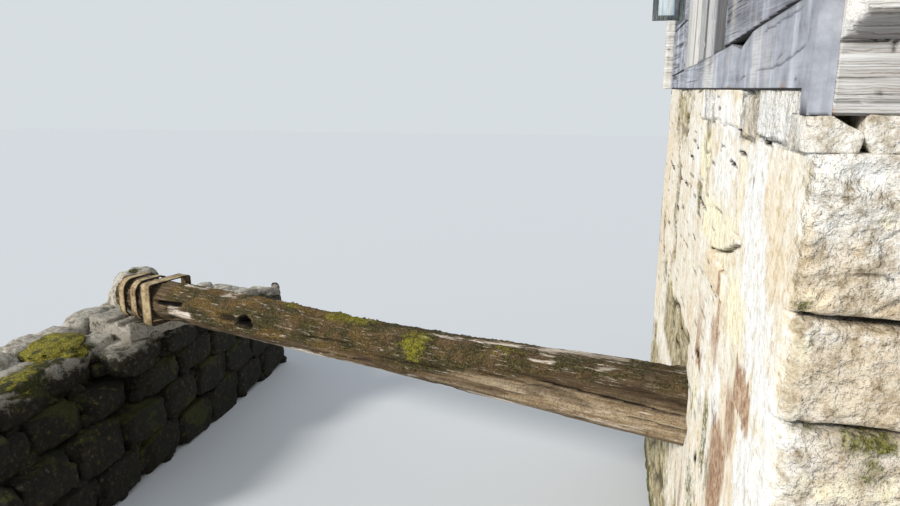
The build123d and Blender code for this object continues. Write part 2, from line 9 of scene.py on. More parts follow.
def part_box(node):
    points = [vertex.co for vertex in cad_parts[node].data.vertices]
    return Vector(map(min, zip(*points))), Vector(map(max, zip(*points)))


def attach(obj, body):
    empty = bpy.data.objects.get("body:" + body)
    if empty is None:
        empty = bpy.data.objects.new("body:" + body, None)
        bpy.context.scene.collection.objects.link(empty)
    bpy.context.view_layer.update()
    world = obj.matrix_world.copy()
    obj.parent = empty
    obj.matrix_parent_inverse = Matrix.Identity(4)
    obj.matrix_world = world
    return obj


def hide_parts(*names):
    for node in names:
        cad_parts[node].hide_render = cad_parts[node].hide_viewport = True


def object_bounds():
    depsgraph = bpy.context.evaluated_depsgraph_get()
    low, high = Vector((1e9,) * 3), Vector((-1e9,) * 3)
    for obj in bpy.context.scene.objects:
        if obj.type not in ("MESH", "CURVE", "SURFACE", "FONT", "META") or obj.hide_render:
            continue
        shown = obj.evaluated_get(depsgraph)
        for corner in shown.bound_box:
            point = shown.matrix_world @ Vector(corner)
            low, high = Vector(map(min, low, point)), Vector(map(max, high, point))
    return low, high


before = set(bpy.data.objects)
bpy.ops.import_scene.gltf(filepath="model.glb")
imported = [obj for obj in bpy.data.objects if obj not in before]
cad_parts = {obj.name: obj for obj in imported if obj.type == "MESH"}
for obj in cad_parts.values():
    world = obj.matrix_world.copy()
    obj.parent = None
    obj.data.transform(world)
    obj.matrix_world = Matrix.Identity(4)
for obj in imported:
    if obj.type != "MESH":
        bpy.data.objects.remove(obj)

cad_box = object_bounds()

# The view
# The camera stands outside the front corner of the mill, high over the race, and looks along the
# race and down at it. The floor is a pale studio floor, and the light is one soft sun and a pale sky.

wall_low, wall_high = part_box("race_wall")
race_batter = 0.06
face_x = wall_low.x + race_batter
front_y = wall_low.y
mill_length = wall_high.y - wall_low.y

eye_left_of_wall = 0.6925
eye_before_front = 2.639
eye_height = 4.14
look_down = 12.99
look_left = 12.0
lens_length = 28.6


def in_scene(name, data):
    """Puts a lens, a light or a mesh into the scene."""
    thing = bpy.data.objects.new(name, data)
    bpy.context.scene.collection.objects.link(thing)
    return thing


lens = bpy.data.cameras.new("race_view")
lens.lens = lens_length
lens.clip_start = 0.05
lens.clip_end = 300
camera = in_scene("race_view", lens)
camera.location = (face_x - eye_left_of_wall, front_y - eye_before_front, eye_height)
camera.rotation_euler = (radians(90 - look_down), 0, radians(look_left))
bpy.context.scene.camera = camera
bpy.context.scene.view_settings.view_transform = "Standard"

sun = bpy.data.lights.new("soft_sun", "SUN")
sun.energy = 3.1
sun.angle = radians(9)
sun.color = (1.0, 0.975, 0.93)
sun_from = Vector((-0.59, -0.71, 0.50))
in_scene("soft_sun", sun).rotation_euler = sun_from.to_track_quat("Z", "Y").to_euler()

# The sky lights the mill in one colour and is seen behind it in another.
sky = bpy.data.worlds.new("pale_sky")
bpy.context.scene.world = sky
sky.use_nodes = True
sky_tree = sky.node_tree
sky_light = sky_tree.nodes["Background"]
sky_light.inputs["Color"].default_value = (0.86, 0.92, 1.0, 1)
sky_light.inputs["Strength"].default_value = 0.68
sky_seen = sky_tree.nodes.new("ShaderNodeBackground")
sky_seen.inputs["Color"].default_value = (0.68, 0.725, 0.752, 1)
camera_ray = sky_tree.nodes.new("ShaderNodeLightPath").outputs["Is Camera Ray"]
sky_mix = sky_tree.nodes.new("ShaderNodeMixShader")
for index, output in enumerate((camera_ray, sky_light.outputs[0], sky_seen.outputs[0])):
    sky_tree.links.new(output, sky_mix.inputs[index])
sky_tree.links.new(sky_mix.outputs[0], sky_tree.nodes["World Output"].inputs["Surface"])


def mesh_of(bm, name):
    """The mesh of a finished shape."""
    mesh = bpy.data.meshes.new(name)
    bm.to_mesh(mesh)
    bm.free()
    return mesh


def tone(red, green, blue):
    """A colour as it is seen, from 0 to 255, turned into the light that it reflects."""
    return tuple((c / 255) ** 2.2 for c in (red, green, blue)) + (1.0,)


floor_reach = 60
floor_drop = 0.004
floor_shape = bmesh.new()
bmesh.ops.create_grid(floor_shape, x_segments=1, y_segments=1, size=floor_reach,
                      matrix=Matrix.Translation((0, 0, -floor_drop)))
floor = in_scene("studio_floor", mesh_of(floor_shape, "studio_floor"))
floor_finish = bpy.data.materials.new("studio_floor")
floor_finish.use_nodes = True
floor_shader = floor_finish.node_tree.nodes["Principled BSDF"]
floor_shader.inputs["Base Color"].default_value = tone(205, 208, 210)
floor_shader.inputs["Roughness"].default_value = 0.9
floor.data.materials.append(floor_finish)

# Race wall
# The long wall over the race, of rubble in lime mortar behind large blocks at the front corner. It
# was limed over. The lime has weathered into runs and bands, and has fallen off round the shaft.

along_x, along_y, along_z = 0, 1, 2


def smooth(start, end, x):
    """From 0 to 1 as x goes from start to end, with soft ends."""
    t = min(1.0, max(0.0, (x - start) / (end - start)))
    return t * t * (3 - 2 * t)


def swell(x, y, z):
    """A soft random height at a place, from about -1 to 1."""
    return noise.noise(Vector((x, y, z)))


def rugged(x, y, z, octaves=4, fall=0.9, finer=2.1):
    """A rough random height: octaves of swells, each finer and lower than the one before."""
    return noise.fractal(Vector((x, y, z)), fall, finer, octaves)


def from_corner(place):
    """Where a place is from the foot of the front corner over the race."""
    return place.x - face_x, place.y - front_y, place.z


def patch(u, v, u0, u1, v0, v1, soft_u, soft_v):
    """1 inside a rectangle and 0 outside it, with ragged soft edges."""
    wave = 0.5 * swell(u * 6, v * 6, 3.1) + 0.25 * swell(u * 19, v * 19, 7.7)
    a = smooth(-soft_u, soft_u, min(u - u0, u1 - u) + wave * soft_u)
    return a * smooth(-soft_v, soft_v, min(v - v0, v1 - v) + wave * soft_v)


def from_node(name):
    """The whole faces of a CAD piece, ready to be cut and worn."""
    bm = bmesh.new()
    bm.from_mesh(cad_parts[name].data)
    bmesh.ops.remove_doubles(bm, verts=bm.verts, dist=0.00001)
    bmesh.ops.dissolve_limit(bm, angle_limit=radians(0.6), verts=bm.verts, edges=bm.edges)
    return bm


def steps(low, high, spacing):
    """Places between low and high, evenly spaced, for the cuts across a face."""
    count = max(1, round((high - low) / spacing))
    return [low + (high - low) * i / count for i in range(1, count)]


def cut_across(bm, faces, axis, places):
    """Cuts faces across one axis, place after place, and returns all the pieces."""
    done, rest = [], list(faces)
    normal = Vector((0, 0, 0))
    normal[axis] = 1
    for place in sorted(places):
        if not rest:
            break
        geometry = set(rest)
        for face in rest:
            geometry.update(face.edges)
            geometry.update(face.verts)
        cut = bmesh.ops.bisect_plane(bm, geom=list(geometry), plane_co=normal * place,
                                     plane_no=normal, dist=0.000001)
        rest = []
        for part in cut["geom"]:
            if isinstance(part, bmesh.types.BMFace):
                middle = sum((v.co[axis] for v in part.verts)) / len(part.verts)
                (rest if middle > place else done).append(part)
    return done + rest


def facing(bm, axis, sign, least=0.9):
    """The faces that look along one axis."""
    bm.normal_update()
    return [f for f in bm.faces if f.normal[axis] * sign > least]


def keep_in(bm, low, high):
    """Presses what stands out of a box back to it."""
    for vert in bm.verts:
        vert.co = Vector([min(max(part, least), most) for part, least, most in zip(vert.co, low, high)])


def stand(bm, name, finish, replaced=(), sharp=40):
    """Makes a piece of the mill from its finished shape, kept inside the mill's own box."""
    keep_in(bm, *cad_box)
    bm.normal_update()
    mesh = mesh_of(bm, name)
    mesh.materials.append(finish)
    mesh.shade_smooth()
    if sharp:
        mesh.set_sharp_from_angle(angle=radians(sharp))
    piece = in_scene(name, mesh)
    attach(piece, "root")
    if replaced:
        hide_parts(*replaced)


def new_finish(name, roughness):
    """An empty material, its tree and its shader."""
    material = bpy.data.materials.new(name)
    material.use_nodes = True
    shader = material.node_tree.nodes["Principled BSDF"]
    shader.inputs["Roughness"].default_value = roughness
    shader.inputs["Specular IOR Level"].default_value = 0.25
    return material, material.node_tree, shader


def place_in(tree, stretch=(1, 1, 1), turn=(0, 0, 0)):
    """Object coordinates for one pattern, drawn out by so many metres along axes that are turned."""
    coordinates = tree.nodes.new("ShaderNodeTexCoord")
    mapping = tree.nodes.new("ShaderNodeMapping")
    mapping.vector_type = "TEXTURE"
    mapping.inputs["Scale"].default_value = stretch
    mapping.inputs["Rotation"].default_value = turn
    tree.links.new(coordinates.outputs["Object"], mapping.inputs["Vector"])
    return mapping.outputs["Vector"]


def painted(tree, name):
    """A value that the mesh carries at each point."""
    node = tree.nodes.new("ShaderNodeAttribute")
    node.attribute_name = name
    return node.outputs["Fac"]


def feed(node, values):
    """Gives a node its inputs by name or number: a pattern, a colour as it is seen, or an amount."""
    for name, value in values.items():
        if isinstance(value, bpy.types.NodeSocket):
            node.id_data.links.new(value, node.inputs[name])
        else:
            node.inputs[name].default_value = tone(*value) if isinstance(value, tuple) else value


def cloud(vector, scale, detail=5.0, rough=0.55, distort=0.0):
    """A noise pattern."""
    node = vector.id_data.nodes.new("ShaderNodeTexNoise")
    feed(node, {"Vector": vector, "Scale": scale, "Detail": detail, "Roughness": rough,
                "Distortion": distort})
    return node.outputs["Fac"]


def ramp(value, low, high):
    """Spreads the part of a pattern between two levels over 0 to 1."""
    node = value.id_data.nodes.new("ShaderNodeMapRange")
    node.interpolation_type = "SMOOTHSTEP"
    feed(node, {"Value": value, "From Min": low, "From Max": high})
    return node.outputs["Result"]


def shades(value, *stops):
    """Colours along a pattern. Each stop is a level and a colour as it is seen."""
    node = value.id_data.nodes.new("ShaderNodeValToRGB")
    points = node.color_ramp.elements
    while len(points) < len(stops):
        points.new(0.5)
    for point, (level, *colour) in zip(points, stops):
        point.position = level
        point.color = tone(*colour)
    feed(node, {"Fac": value})
    return node.outputs["Color"]


def blend(factor, first, second, way="MIX"):
    """Lays a second colour over a first by a pattern or an amount. The second may be plain."""
    node = first.id_data.nodes.new("ShaderNodeMix")
    node.data_type = "RGBA"
    node.blend_type = way
    feed(node, {0: factor, 6: first, 7: second})
    return node.outputs[2]


def reckon(how, first, second=0.5):
    """Simple arithmetic on patterns, one of which may be an amount."""
    pattern = first if isinstance(first, bpy.types.NodeSocket) else second
    node = pattern.id_data.nodes.new("ShaderNodeMath")
    node.operation = how
    feed(node, {0: first, 1: second})
    return node.outputs[0]


def times(pattern, other):
    """A pattern times an amount or another pattern."""
    return reckon("MULTIPLY", pattern, other)


def dress(shader, colour, layers):
    """Gives a shader its colour, and bump from several patterns, each with its depth in metres."""
    finish = {"Base Color": colour}
    for height, depth in layers:
        bump = shader.id_data.nodes.new("ShaderNodeBump")
        feed(bump, {"Strength": 1.0, "Distance": depth, "Height": height})
        if "Normal" in finish:
            feed(bump, {"Normal": finish["Normal"]})
        finish["Normal"] = bump.outputs["Normal"]
    feed(shader, finish)


def ragged(mask, pattern, spread=1.5):
    """Breaks up the edges of what the mesh carries by a finer pattern."""
    moved = times(reckon("SUBTRACT", pattern, 0.5), spread)
    return ramp(reckon("ADD", painted(pattern.id_data, mask), moved), 0.22, 0.88)


def masonry_finish():
    """Stone and lime: what shows where is carried by the mesh, and the grain is worked out here."""
    material, tree, shader = new_finish("limed_masonry", 0.92)
    flat = place_in(tree)
    broad = cloud(flat, 1.3, 4)
    rock = cloud(flat, 8, 12, 0.72)
    fine = cloud(flat, 60, 8, 0.75)
    grit = cloud(flat, 24, 10, 0.78)
    run = cloud(place_in(tree, (0.10, 0.20, 0.50)), 1.0, 10, 0.72)
    streak = cloud(place_in(tree, (0.014, 0.040, 0.055)), 1.0, 6, 0.72)
    both = reckon("ADD", times(run, 0.5), times(rock, 0.5))
    grains = reckon("ADD", times(grit, 0.6), times(rock, 0.4))
    rubble_stone = shades(rock, (0.32, 134, 118, 84), (0.45, 176, 160, 122), (0.56, 210, 197, 162),
                          (0.68, 232, 224, 200))
    block_stone = shades(grains, (0.37, 118, 103, 80), (0.43, 175, 162, 141), (0.48, 205, 196, 180),
                         (0.54, 234, 229, 219))
    block_stone = blend(ramp(broad, 0.46, 0.66), block_stone, (236, 225, 208), "MULTIPLY")
    lime = shades(both, (0.38, 222, 205, 176), (0.45, 236, 225, 202), (0.52, 244, 238, 225),
                  (0.60, 249, 246, 239))
    lime = blend(ramp(broad, 0.52, 0.68), lime, (251, 243, 231), "MULTIPLY")
    streaks = shades(streak, (0.34, 190, 168, 138), (0.43, 239, 230, 214), (0.51, 255, 255, 255))
    lime = blend(0.75, lime, streaks, "MULTIPLY")
    colour = blend(painted(tree, "block"), rubble_stone, block_stone)
    colour = blend(ragged("lime", rock), colour, lime)
    yellow = shades(streak, (0.36, 220, 200, 150), (0.50, 251, 243, 210))
    colour = blend(ragged("yellow", both, 3.2), colour, yellow)
    ochre = shades(grains, (0.40, 200, 172, 134), (0.56, 242, 226, 196))
    colour = blend(ragged("ochre", both, 3.2), colour, ochre)
    white = shades(streak, (0.34, 200, 188, 166), (0.42, 232, 226, 212), (0.50, 247, 245, 240))
    colour = blend(ragged("white", both, 3.2), colour, white)
    rust = shades(grains, (0.42, 134, 102, 80), (0.50, 176, 144, 118), (0.58, 216, 192, 164))
    colour = blend(ragged("rust", both, 3.6), colour, blend(0.6, rust, streaks, "MULTIPLY"))
    moss = shades(fine, (0.38, 54, 54, 24), (0.50, 92, 90, 42), (0.60, 142, 136, 78))
    colour = blend(ragged("moss", grit, 3.0), colour, moss)
    specks = times(ramp(fine, 0.44, 0.32), painted(tree, "rough"))
    colour = blend(times(specks, 0.7), colour, (126, 116, 100))
    # The mesh's dark mask is painted shade in holes, cracks and open joints.
    colour = blend(painted(tree, "dark"), colour, (30, 26, 20))
    broken = times(cloud(flat, 9, 4, 0.6), painted(tree, "rough"))
    grained = times(cloud(flat, 38, 4, 0.6), painted(tree, "rough"))
    dress(shader, colour, [(broken, 0.07), (grained, 0.018), (cloud(flat, 90, 3, 0.6), 0.0025)])
    return material


limed_masonry = masonry_finish()

MASKS = ("lime", "white", "yellow", "ochre", "rust", "moss", "rough", "dark", "block")

# Places are metres from the front end, then metres up: (y0, y1, z0, z1, soft_y, soft_z, amount).
race_patches = {
    "white": (
        (0.54, 1.04, 3.44, 3.90, 0.05, 0.08, 1.0), (0.40, 0.86, 3.16, 3.56, 0.07, 0.14, 1.0),
        (0.22, 0.66, 2.92, 3.34, 0.08, 0.12, 1.0), (0.02, 0.38, 2.80, 3.06, 0.06, 0.10, 1.0),
        (-0.10, 0.56, 2.30, 2.74, 0.08, 0.08, 1.0), (-0.10, 0.50, 1.3, 2.4, 0.10, 0.3, 0.8),
        (1.12, 1.30, 2.30, 2.66, 0.04, 0.10, 1.0), (1.3, 2.1, 3.52, 3.92, 0.25, 0.12, 0.75),
        (2.75, 3.1, 3.2, 3.9, 0.1, 0.2, 0.6), (1.32, 2.7, 3.92, 4.12, 0.05, 0.03, 0.8),
        (-0.1, 0.88, 3.92, 4.14, 0.05, 0.03, 0.8),
        (1.55, 1.75, 2.1, 2.9, 0.05, 0.2, 0.6), (3.6, 3.8, 2.6, 3.6, 0.1, 0.3, 0.5),
    ),
    "yellow": (
        (2.20, 2.66, 3.5, 3.85, 0.07, 0.15, 0.75), (0.66, 1.20, 2.86, 3.26, 0.08, 0.12, 0.72),
        (1.1, 2.3, 3.18, 3.50, 0.15, 0.07, 0.62), (0.49, 0.60, 3.10, 3.46, 0.04, 0.12, 0.8),
        (1.04, 1.16, 3.4, 3.86, 0.04, 0.15, 0.6), (1.75, 2.1, 2.0, 2.4, 0.1, 0.2, 0.5),
        (2.5, 4.2, 2.5, 3.1, 0.4, 0.3, 0.35),
    ),
    "ochre": (
        (0.30, 0.46, 3.44, 3.93, 0.05, 0.14, 0.34), (4.7, 5.5, 1.9, 4.0, 0.35, 0.4, 0.62),
        (1.26, 1.92, 3.01, 3.19, 0.05, 0.02, 0.8), (3.3, 4.3, 2.4, 3.6, 0.4, 0.5, 0.42),
        (0.86, 1.28, 3.86, 3.94, 0.05, 0.02, 0.6), (0.06, 0.20, 3.5, 3.92, 0.05, 0.2, 0.36),
    ),
    "rust": (
        (1.29, 1.38, 2.80, 3.16, 0.022, 0.05, 0.9), (1.26, 1.50, 2.64, 2.90, 0.06, 0.08, 0.7),
        (0.37, 0.78, 2.68, 2.90, 0.05, 0.04, 1.0), (0.64, 0.94, 2.40, 2.72, 0.05, 0.08, 0.85),
        (0.78, 1.24, 1.84, 2.44, 0.07, 0.10, 0.9), (1.76, 2.06, 2.41, 2.54, 0.04, 0.03, 1.0),
        (1.86, 2.1, 2.5, 2.86, 0.06, 0.1, 0.6), (0.84, 1.4, 0.8, 1.9, 0.15, 0.3, 0.6),
        (2.1, 2.3, 1.0, 1.6, 0.06, 0.2, 0.5),
    ),
    "moss": (
        (1.36, 1.50, 1.86, 2.42, 0.03, 0.12, 0.65), (-0.1, 5.6, -0.3, 0.24, 0.2, 0.16, 0.8),
        (3.6, 5.6, 0.2, 1.2, 0.6, 0.4, 0.4), (1.55, 1.95, 1.5, 1.8, 0.1, 0.1, 0.6),
    ),
    "kept": ((-0.1, 2.3, 2.45, 3.94, 0.2, 0.1, 1.0), (-0.1, 1.1, 1.2, 2.6, 0.2, 0.2, 1.0)),
    "bare": (
        (2.45, 4.25, 1.88, 2.42, 0.12, 0.06, 1.0), (0.05, 0.90, 3.93, 4.14, 0.03, 0.02, 1.0),
        (0.90, 1.32, 3.90, 4.14, 0.03, 0.02, 1.0), (3.0, 5.6, 0.3, 1.5, 0.5, 0.3, 0.9),
        (0.5, 2.4, 0.1, 1.1, 0.4, 0.3, 0.8), (3.6, 4.8, 3.7, 4.13, 0.4, 0.15, 0.6),
    ),
}
# Stones that show through the lime: from and to along the wall and up it, and how far they stand out.
race_stones = (
    (0.08, 0.86, 3.93, 4.20, 0.020), (0.90, 1.30, 3.90, 4.10, 0.008), (1.34, 1.80, 3.94, 4.20, 0.014),
    (1.84, 2.24, 3.95, 4.20, 0.006), (2.28, 2.74, 3.93, 4.20, 0.016), (1.24, 1.94, 3.02, 3.18, 0.016),
    (0.98, 1.22, 3.33, 3.41, 0.010),
)
# Holes where a small stone or a peg is gone: (y, z, half length, half height, depth).
race_holes = (
    (1.39, 3.75, 0.095, 0.011, 0.10), (1.17, 3.82, 0.085, 0.009, 0.08), (2.38, 3.385, 0.22, 0.015, 0.10),
    (3.37, 3.39, 0.10, 0.014, 0.06), (1.30, 3.925, 0.05, 0.014, 0.05), (0.62, 3.918, 0.10, 0.010, 0.06),
    (1.68, 3.005, 0.22, 0.008, 0.05), (1.92, 2.47, 0.08, 0.022, 0.04), (1.62, 1.92, 0.04, 0.03, 0.05),
    (3.2, 3.62, 0.12, 0.012, 0.05), (3.9, 3.1, 0.14, 0.013, 0.05), (2.9, 2.30, 0.22, 0.010, 0.06),
    (3.1, 2.14, 0.26, 0.012, 0.06), (3.4, 2.36, 0.24, 0.012, 0.06), (4.6, 3.4, 0.2, 0.014, 0.06),
    (2.65, 3.1, 0.08, 0.010, 0.04), (0.83, 3.72, 0.010, 0.045, 0.04), (2.0, 4.02, 0.05, 0.010, 0.05),
    (2.26, 3.98, 0.03, 0.05, 0.05), (1.82, 4.02, 0.02, 0.06, 0.05), (2.9, 3.72, 0.05, 0.012, 0.04),
)
# The long slot is a joint that opened as the stone under it sank.
slot_front, slot_back = (1.00, 3.385), (1.86, 3.190)
slot_half, slot_depth = 0.012, 0.10
slot_sag = 0.025
race_lime_offset = 0.010


def amount_of(kind, u, v, table, drip=0.0):
    """The strongest of the patches of one kind at a place. drip draws their ends out in runs."""
    found = 0.0
    for u0, u1, v0, v1, soft_u, soft_v, most in table.get(kind, ()):
        if u0 - 2 * soft_u < u < u1 + 2 * soft_u and v0 - 2 * soft_v - drip < v < v1 + 2 * soft_v + drip:
            run = drip * swell(u * 31, v * 0.7, 4.4)
            found = max(found, most * patch(u, v + run, u0, u1, v0, v1, soft_u, soft_v))
    return found


def lime_on_race(y, z):
    """How much lime covers the race face: most of it, less at the foot and where it fell off."""
    worn = rugged(y * 1.9, z * 1.3, 11, 5)
    cover = max(smooth(-0.62, -0.30, worn), amount_of("kept", y, z, race_patches))
    return max(0.0, cover * smooth(0.15, 0.8, z) - amount_of("bare", y, z, race_patches))


def rubble(u, v, seed, length=0.36, height=0.185):
    """A rubble wall's own relief: each stone stands at its own depth, and the joints lie back."""
    shift = 0.5 * swell(u * 1.3, v * 1.3, seed)
    near, points = noise.voronoi(Vector((u / length + shift, v / height, seed)))
    joint = 1 - smooth(0.02, 0.13, near[1] - near[0])
    own = noise.noise(points[0] * 5.3)
    return 0.020 * own * (1 - joint) - 0.026 * joint, joint


def shown_stones(y, z):
    """How far the stones that show through the lime stand out, and how near a joint of theirs is."""
    out, joint = 0.0, 0.0
    for y0, y1, z0, z1, proud in race_stones:
        if y0 - 0.05 < y < y1 + 0.05 and z0 - 0.05 < z < z1 + 0.05:
            wave = 0.014 * swell(y * 9, z * 12, y0 * 5)
            inside = min(y - y0, y1 - y, 1.6 * (z - z0), z1 - z) + wave
            out = max(out, proud * smooth(-0.004, 0.012, inside))
            joint = max(joint, 1 - smooth(0.002, 0.010, abs(inside)))
    return out, joint


def hollow(u, v, holes):
    """The depth of the holes at a place, and the painted shade in them, a little wider than the hole."""
    depth = dark = 0.0
    for hole_u, hole_v, half_u, half_v, deep in holes:
        if abs(u - hole_u) < 1.6 * half_u and abs(v - hole_v) < 2.2 * half_v:
            tilt = 0.04 * (u - hole_u)
            r = hypot((u - hole_u) / half_u, (v - hole_v - tilt) / half_v)
            r += 0.3 * swell(u * 25, v * 60, 2)
            depth = max(depth, 0.4 * deep * (1 - smooth(0.6, 1.0, r)))
            dark = max(dark, 1 - smooth(0.95, 1.3, r))
    return depth, dark


def slot_gap(y, z):
    """The depth of the long slot, which sags in its middle and is widest at its near end."""
    if not slot_front[0] - 0.05 < y < slot_back[0] + 0.05:
        return 0.0
    share = (y - slot_front[0]) / (slot_back[0] - slot_front[0])
    line = slot_front[1] + share * (slot_back[1] - slot_front[1]) - slot_sag * sin(pi * min(1, max(0, share)))
    half = slot_half * (1.0 if 0.2 < share < 0.5 else 0.6)
    ends = smooth(-0.03, 0.05, share) * (1 - smooth(0.92, 1.03, share))
    return slot_depth * ends * (1 - smooth(0.7, 1.3, abs(z - line) / half))


def race_face(y, z):
    """How far the race face stands out at a place, and its masks."""
    lime = lime_on_race(y, z)
    stones, joint = rubble(y, z, 4.0)
    shown, shown_joint = shown_stones(y, z)
    if shown > 0 or shown_joint > 0:
        stones, joint = 0.0, 0.5 * shown_joint
    lumps = 0.009 * rugged(y * 1.5, z * 1.2, 5, 3, 1.0, 2.2)
    grit = 0.0026 * rugged(y * 19, z * 11, 1, 4, 0.8, 2.1)
    runs = 0.004 * swell(y * 13, z * 0.9, 9)
    pocked = 0.010 * smooth(0.40, 0.54, swell(y * 3, z * 30, 17)) * smooth(0.9, 2.0, y)
    hole, hole_dark = hollow(y, z, race_holes)
    slot = slot_gap(y, z)
    hole, hole_dark = max(hole, slot), max(hole_dark, smooth(0.002, 0.012, slot))
    out = race_lime_offset * lime + stones * (1 - lime) + lumps + grit + runs * lime
    out += shown - 0.012 * shown_joint - pocked - hole
    masks = {kind: amount_of(kind, y, z, race_patches, 0.06)
             for kind in ("white", "yellow", "ochre", "rust", "moss")}
    masks["lime"] = lime
    masks["rough"] = 1 - 0.72 * lime
    masks["block"] = smooth(3.84, 3.90, z) * smooth(3.4, 2.2, y)
    # The dark mask is painted shade: in the holes and the slot, in the open joints between bare stones, and
    # in the pits.
    masks["dark"] = max(hole_dark, 0.8 * joint * (1 - lime), 0.7 * smooth(0.002, 0.008, pocked))
    return out, masks


# The beds between the courses of the front end's blocks from the bottom up with how they rise
# towards the race, the first upright joint of each course from the corner, and a block's length.
block_beds = ((0.50, 0.0), (1.02, 0.0), (1.50, 0.0), (1.98, 0.01), (2.47, 0.02), (2.912, 0.04),
              (3.322, 0.075))
block_first_joints = (0.68, 1.01, 0.70, 0.98, 0.64, 1.05, 0.66, 0.93)
block_length, block_least_end = 0.83, 0.35
bed_bend_x = 0.45
bed_half = 0.010
bed_depth = 0.062
# Cracks and broken edges on the front blocks: from and to a place, half width and depth.
block_cracks = (
    (0.08, 3.490, 0.17, 3.512, 0.006, 0.006), (0.17, 3.512, 0.30, 3.506, 0.006, 0.010),
    (0.21, 3.692, 0.30, 3.700, 0.006, 0.009), (0.26, 3.375, 0.36, 3.440, 0.008, 0.010),
    (0.02, 3.60, 0.08, 3.612, 0.006, 0.005), (0.10, 2.72, 0.28, 2.84, 0.006, 0.004),
    (1.0, 3.5, 1.4, 3.62, 0.008, 0.012), (2.1, 3.0, 2.4, 2.7, 0.008, 0.012),
    (3.2, 2.1, 3.5, 2.4, 0.008, 0.012),
)
block_patches = {
    "lime": ((-0.1, 0.010, 0.3, 3.36, 0.02, 0.03, 1.0), (-0.1, 0.0, 3.36, 3.95, 0.015, 0.03, 1.0)),
    "white": ((-0.1, 0.32, 3.77, 3.93, 0.1, 0.06, 0.62), (-0.1, 0.01, 2.96, 3.32, 0.02, 0.04, 1.0),
              (-0.1, 0.12, 2.80, 2.93, 0.06, 0.06, 0.7), (0.3, 1.4, 3.8, 3.93, 0.1, 0.04, 0.5),
              (0.0, 0.34, 3.24, 3.33, 0.1, 0.05, 0.5), (-0.1, 0.02, 1.3, 2.8, 0.03, 0.1, 0.9)),
    "yellow": ((0.0, 0.10, 3.14, 3.30, 0.05, 0.05, 0.5), (0.22, 0.36, 3.66, 3.74, 0.05, 0.03, 0.5),
               (0.05, 0.5, 2.62, 2.76, 0.1, 0.06, 0.5), (1.3, 2.0, 2.6, 2.9, 0.2, 0.1, 0.5)),
    "ochre": ((-0.02, 0.07, 3.48, 3.70, 0.04, 0.07, 0.7), (0.14, 0.25, 3.55, 3.64, 0.05, 0.04, 0.55),
              (-0.04, 0.14, 3.36, 3.48, 0.06, 0.04, 0.6), (0.20, 0.42, 3.34, 3.42, 0.08, 0.05, 0.5),
              (0.0, 0.10, 2.98, 3.08, 0.05, 0.04, 0.4),
              (2.2, 2.9, 2.6, 3.2, 0.2, 0.2, 0.7), (3.2, 3.9, 1.2, 1.9, 0.2, 0.2, 0.5),
              (0.9, 1.3, 3.45, 3.7, 0.1, 0.1, 0.5)),
    "moss": ((-0.06, 0.07, 3.365, 3.41, 0.04, 0.02, 0.62), (0.20, 0.46, 2.82, 2.925, 0.08, 0.04, 0.74),
             (0.29, 0.40, 2.72, 2.84, 0.06, 0.05, 0.66), (0.02, 0.2, 2.90, 2.935, 0.05, 0.015, 0.6),
             (1.1, 1.5, 2.7, 2.93, 0.1, 0.06, 0.8), (-0.1, 5.0, -0.3, 0.2, 0.2, 0.15, 0.75),
             (2.5, 3.3, 0.9, 1.1, 0.2, 0.08, 0.7), (3.4, 4.5, 1.9, 2.05, 0.2, 0.07, 0.6)),
    "rust": ((0.7, 1.0, 1.4, 2.4, 0.1, 0.3, 0.4), (2.6, 2.8, 0.4, 1.8, 0.1, 0.3, 0.4)),
}


def bed_line(course, x):
    """The height of a bed joint at a place along the front end."""
    height, tilt = block_beds[course]
    wave = 0.010 * swell(x * 3.1, course * 7.0, 2)
    wave += 0.004 * swell(x * 14, course * 3.0, 5)
    return height + tilt * max(0.0, bed_bend_x - x) + wave


def crack_depth(u, v, cracks):
    """The depth of the cracks at a place."""
    depth = 0.0
    for u0, v0, u1, v1, half, deep in cracks:
        if min(u0, u1) - 0.03 < u < max(u0, u1) + 0.03 and min(v0, v1) - 0.03 < v < max(v0, v1) + 0.03:
            long = hypot(u1 - u0, v1 - v0)
            share = ((u - u0) * (u1 - u0) + (v - v0) * (v1 - v0)) / long ** 2
            away = ((u - u0) * (v1 - v0) - (v - v0) * (u1 - u0)) / long
            away += 0.008 * swell(share * 7, u0 * 20, 3)
            ends = smooth(-0.05, 0.1, share) * (1 - smooth(0.9, 1.05, share))
            depth = max(depth, deep * ends * (1 - smooth(0.3, 1.3, abs(away) / half)))
    return depth


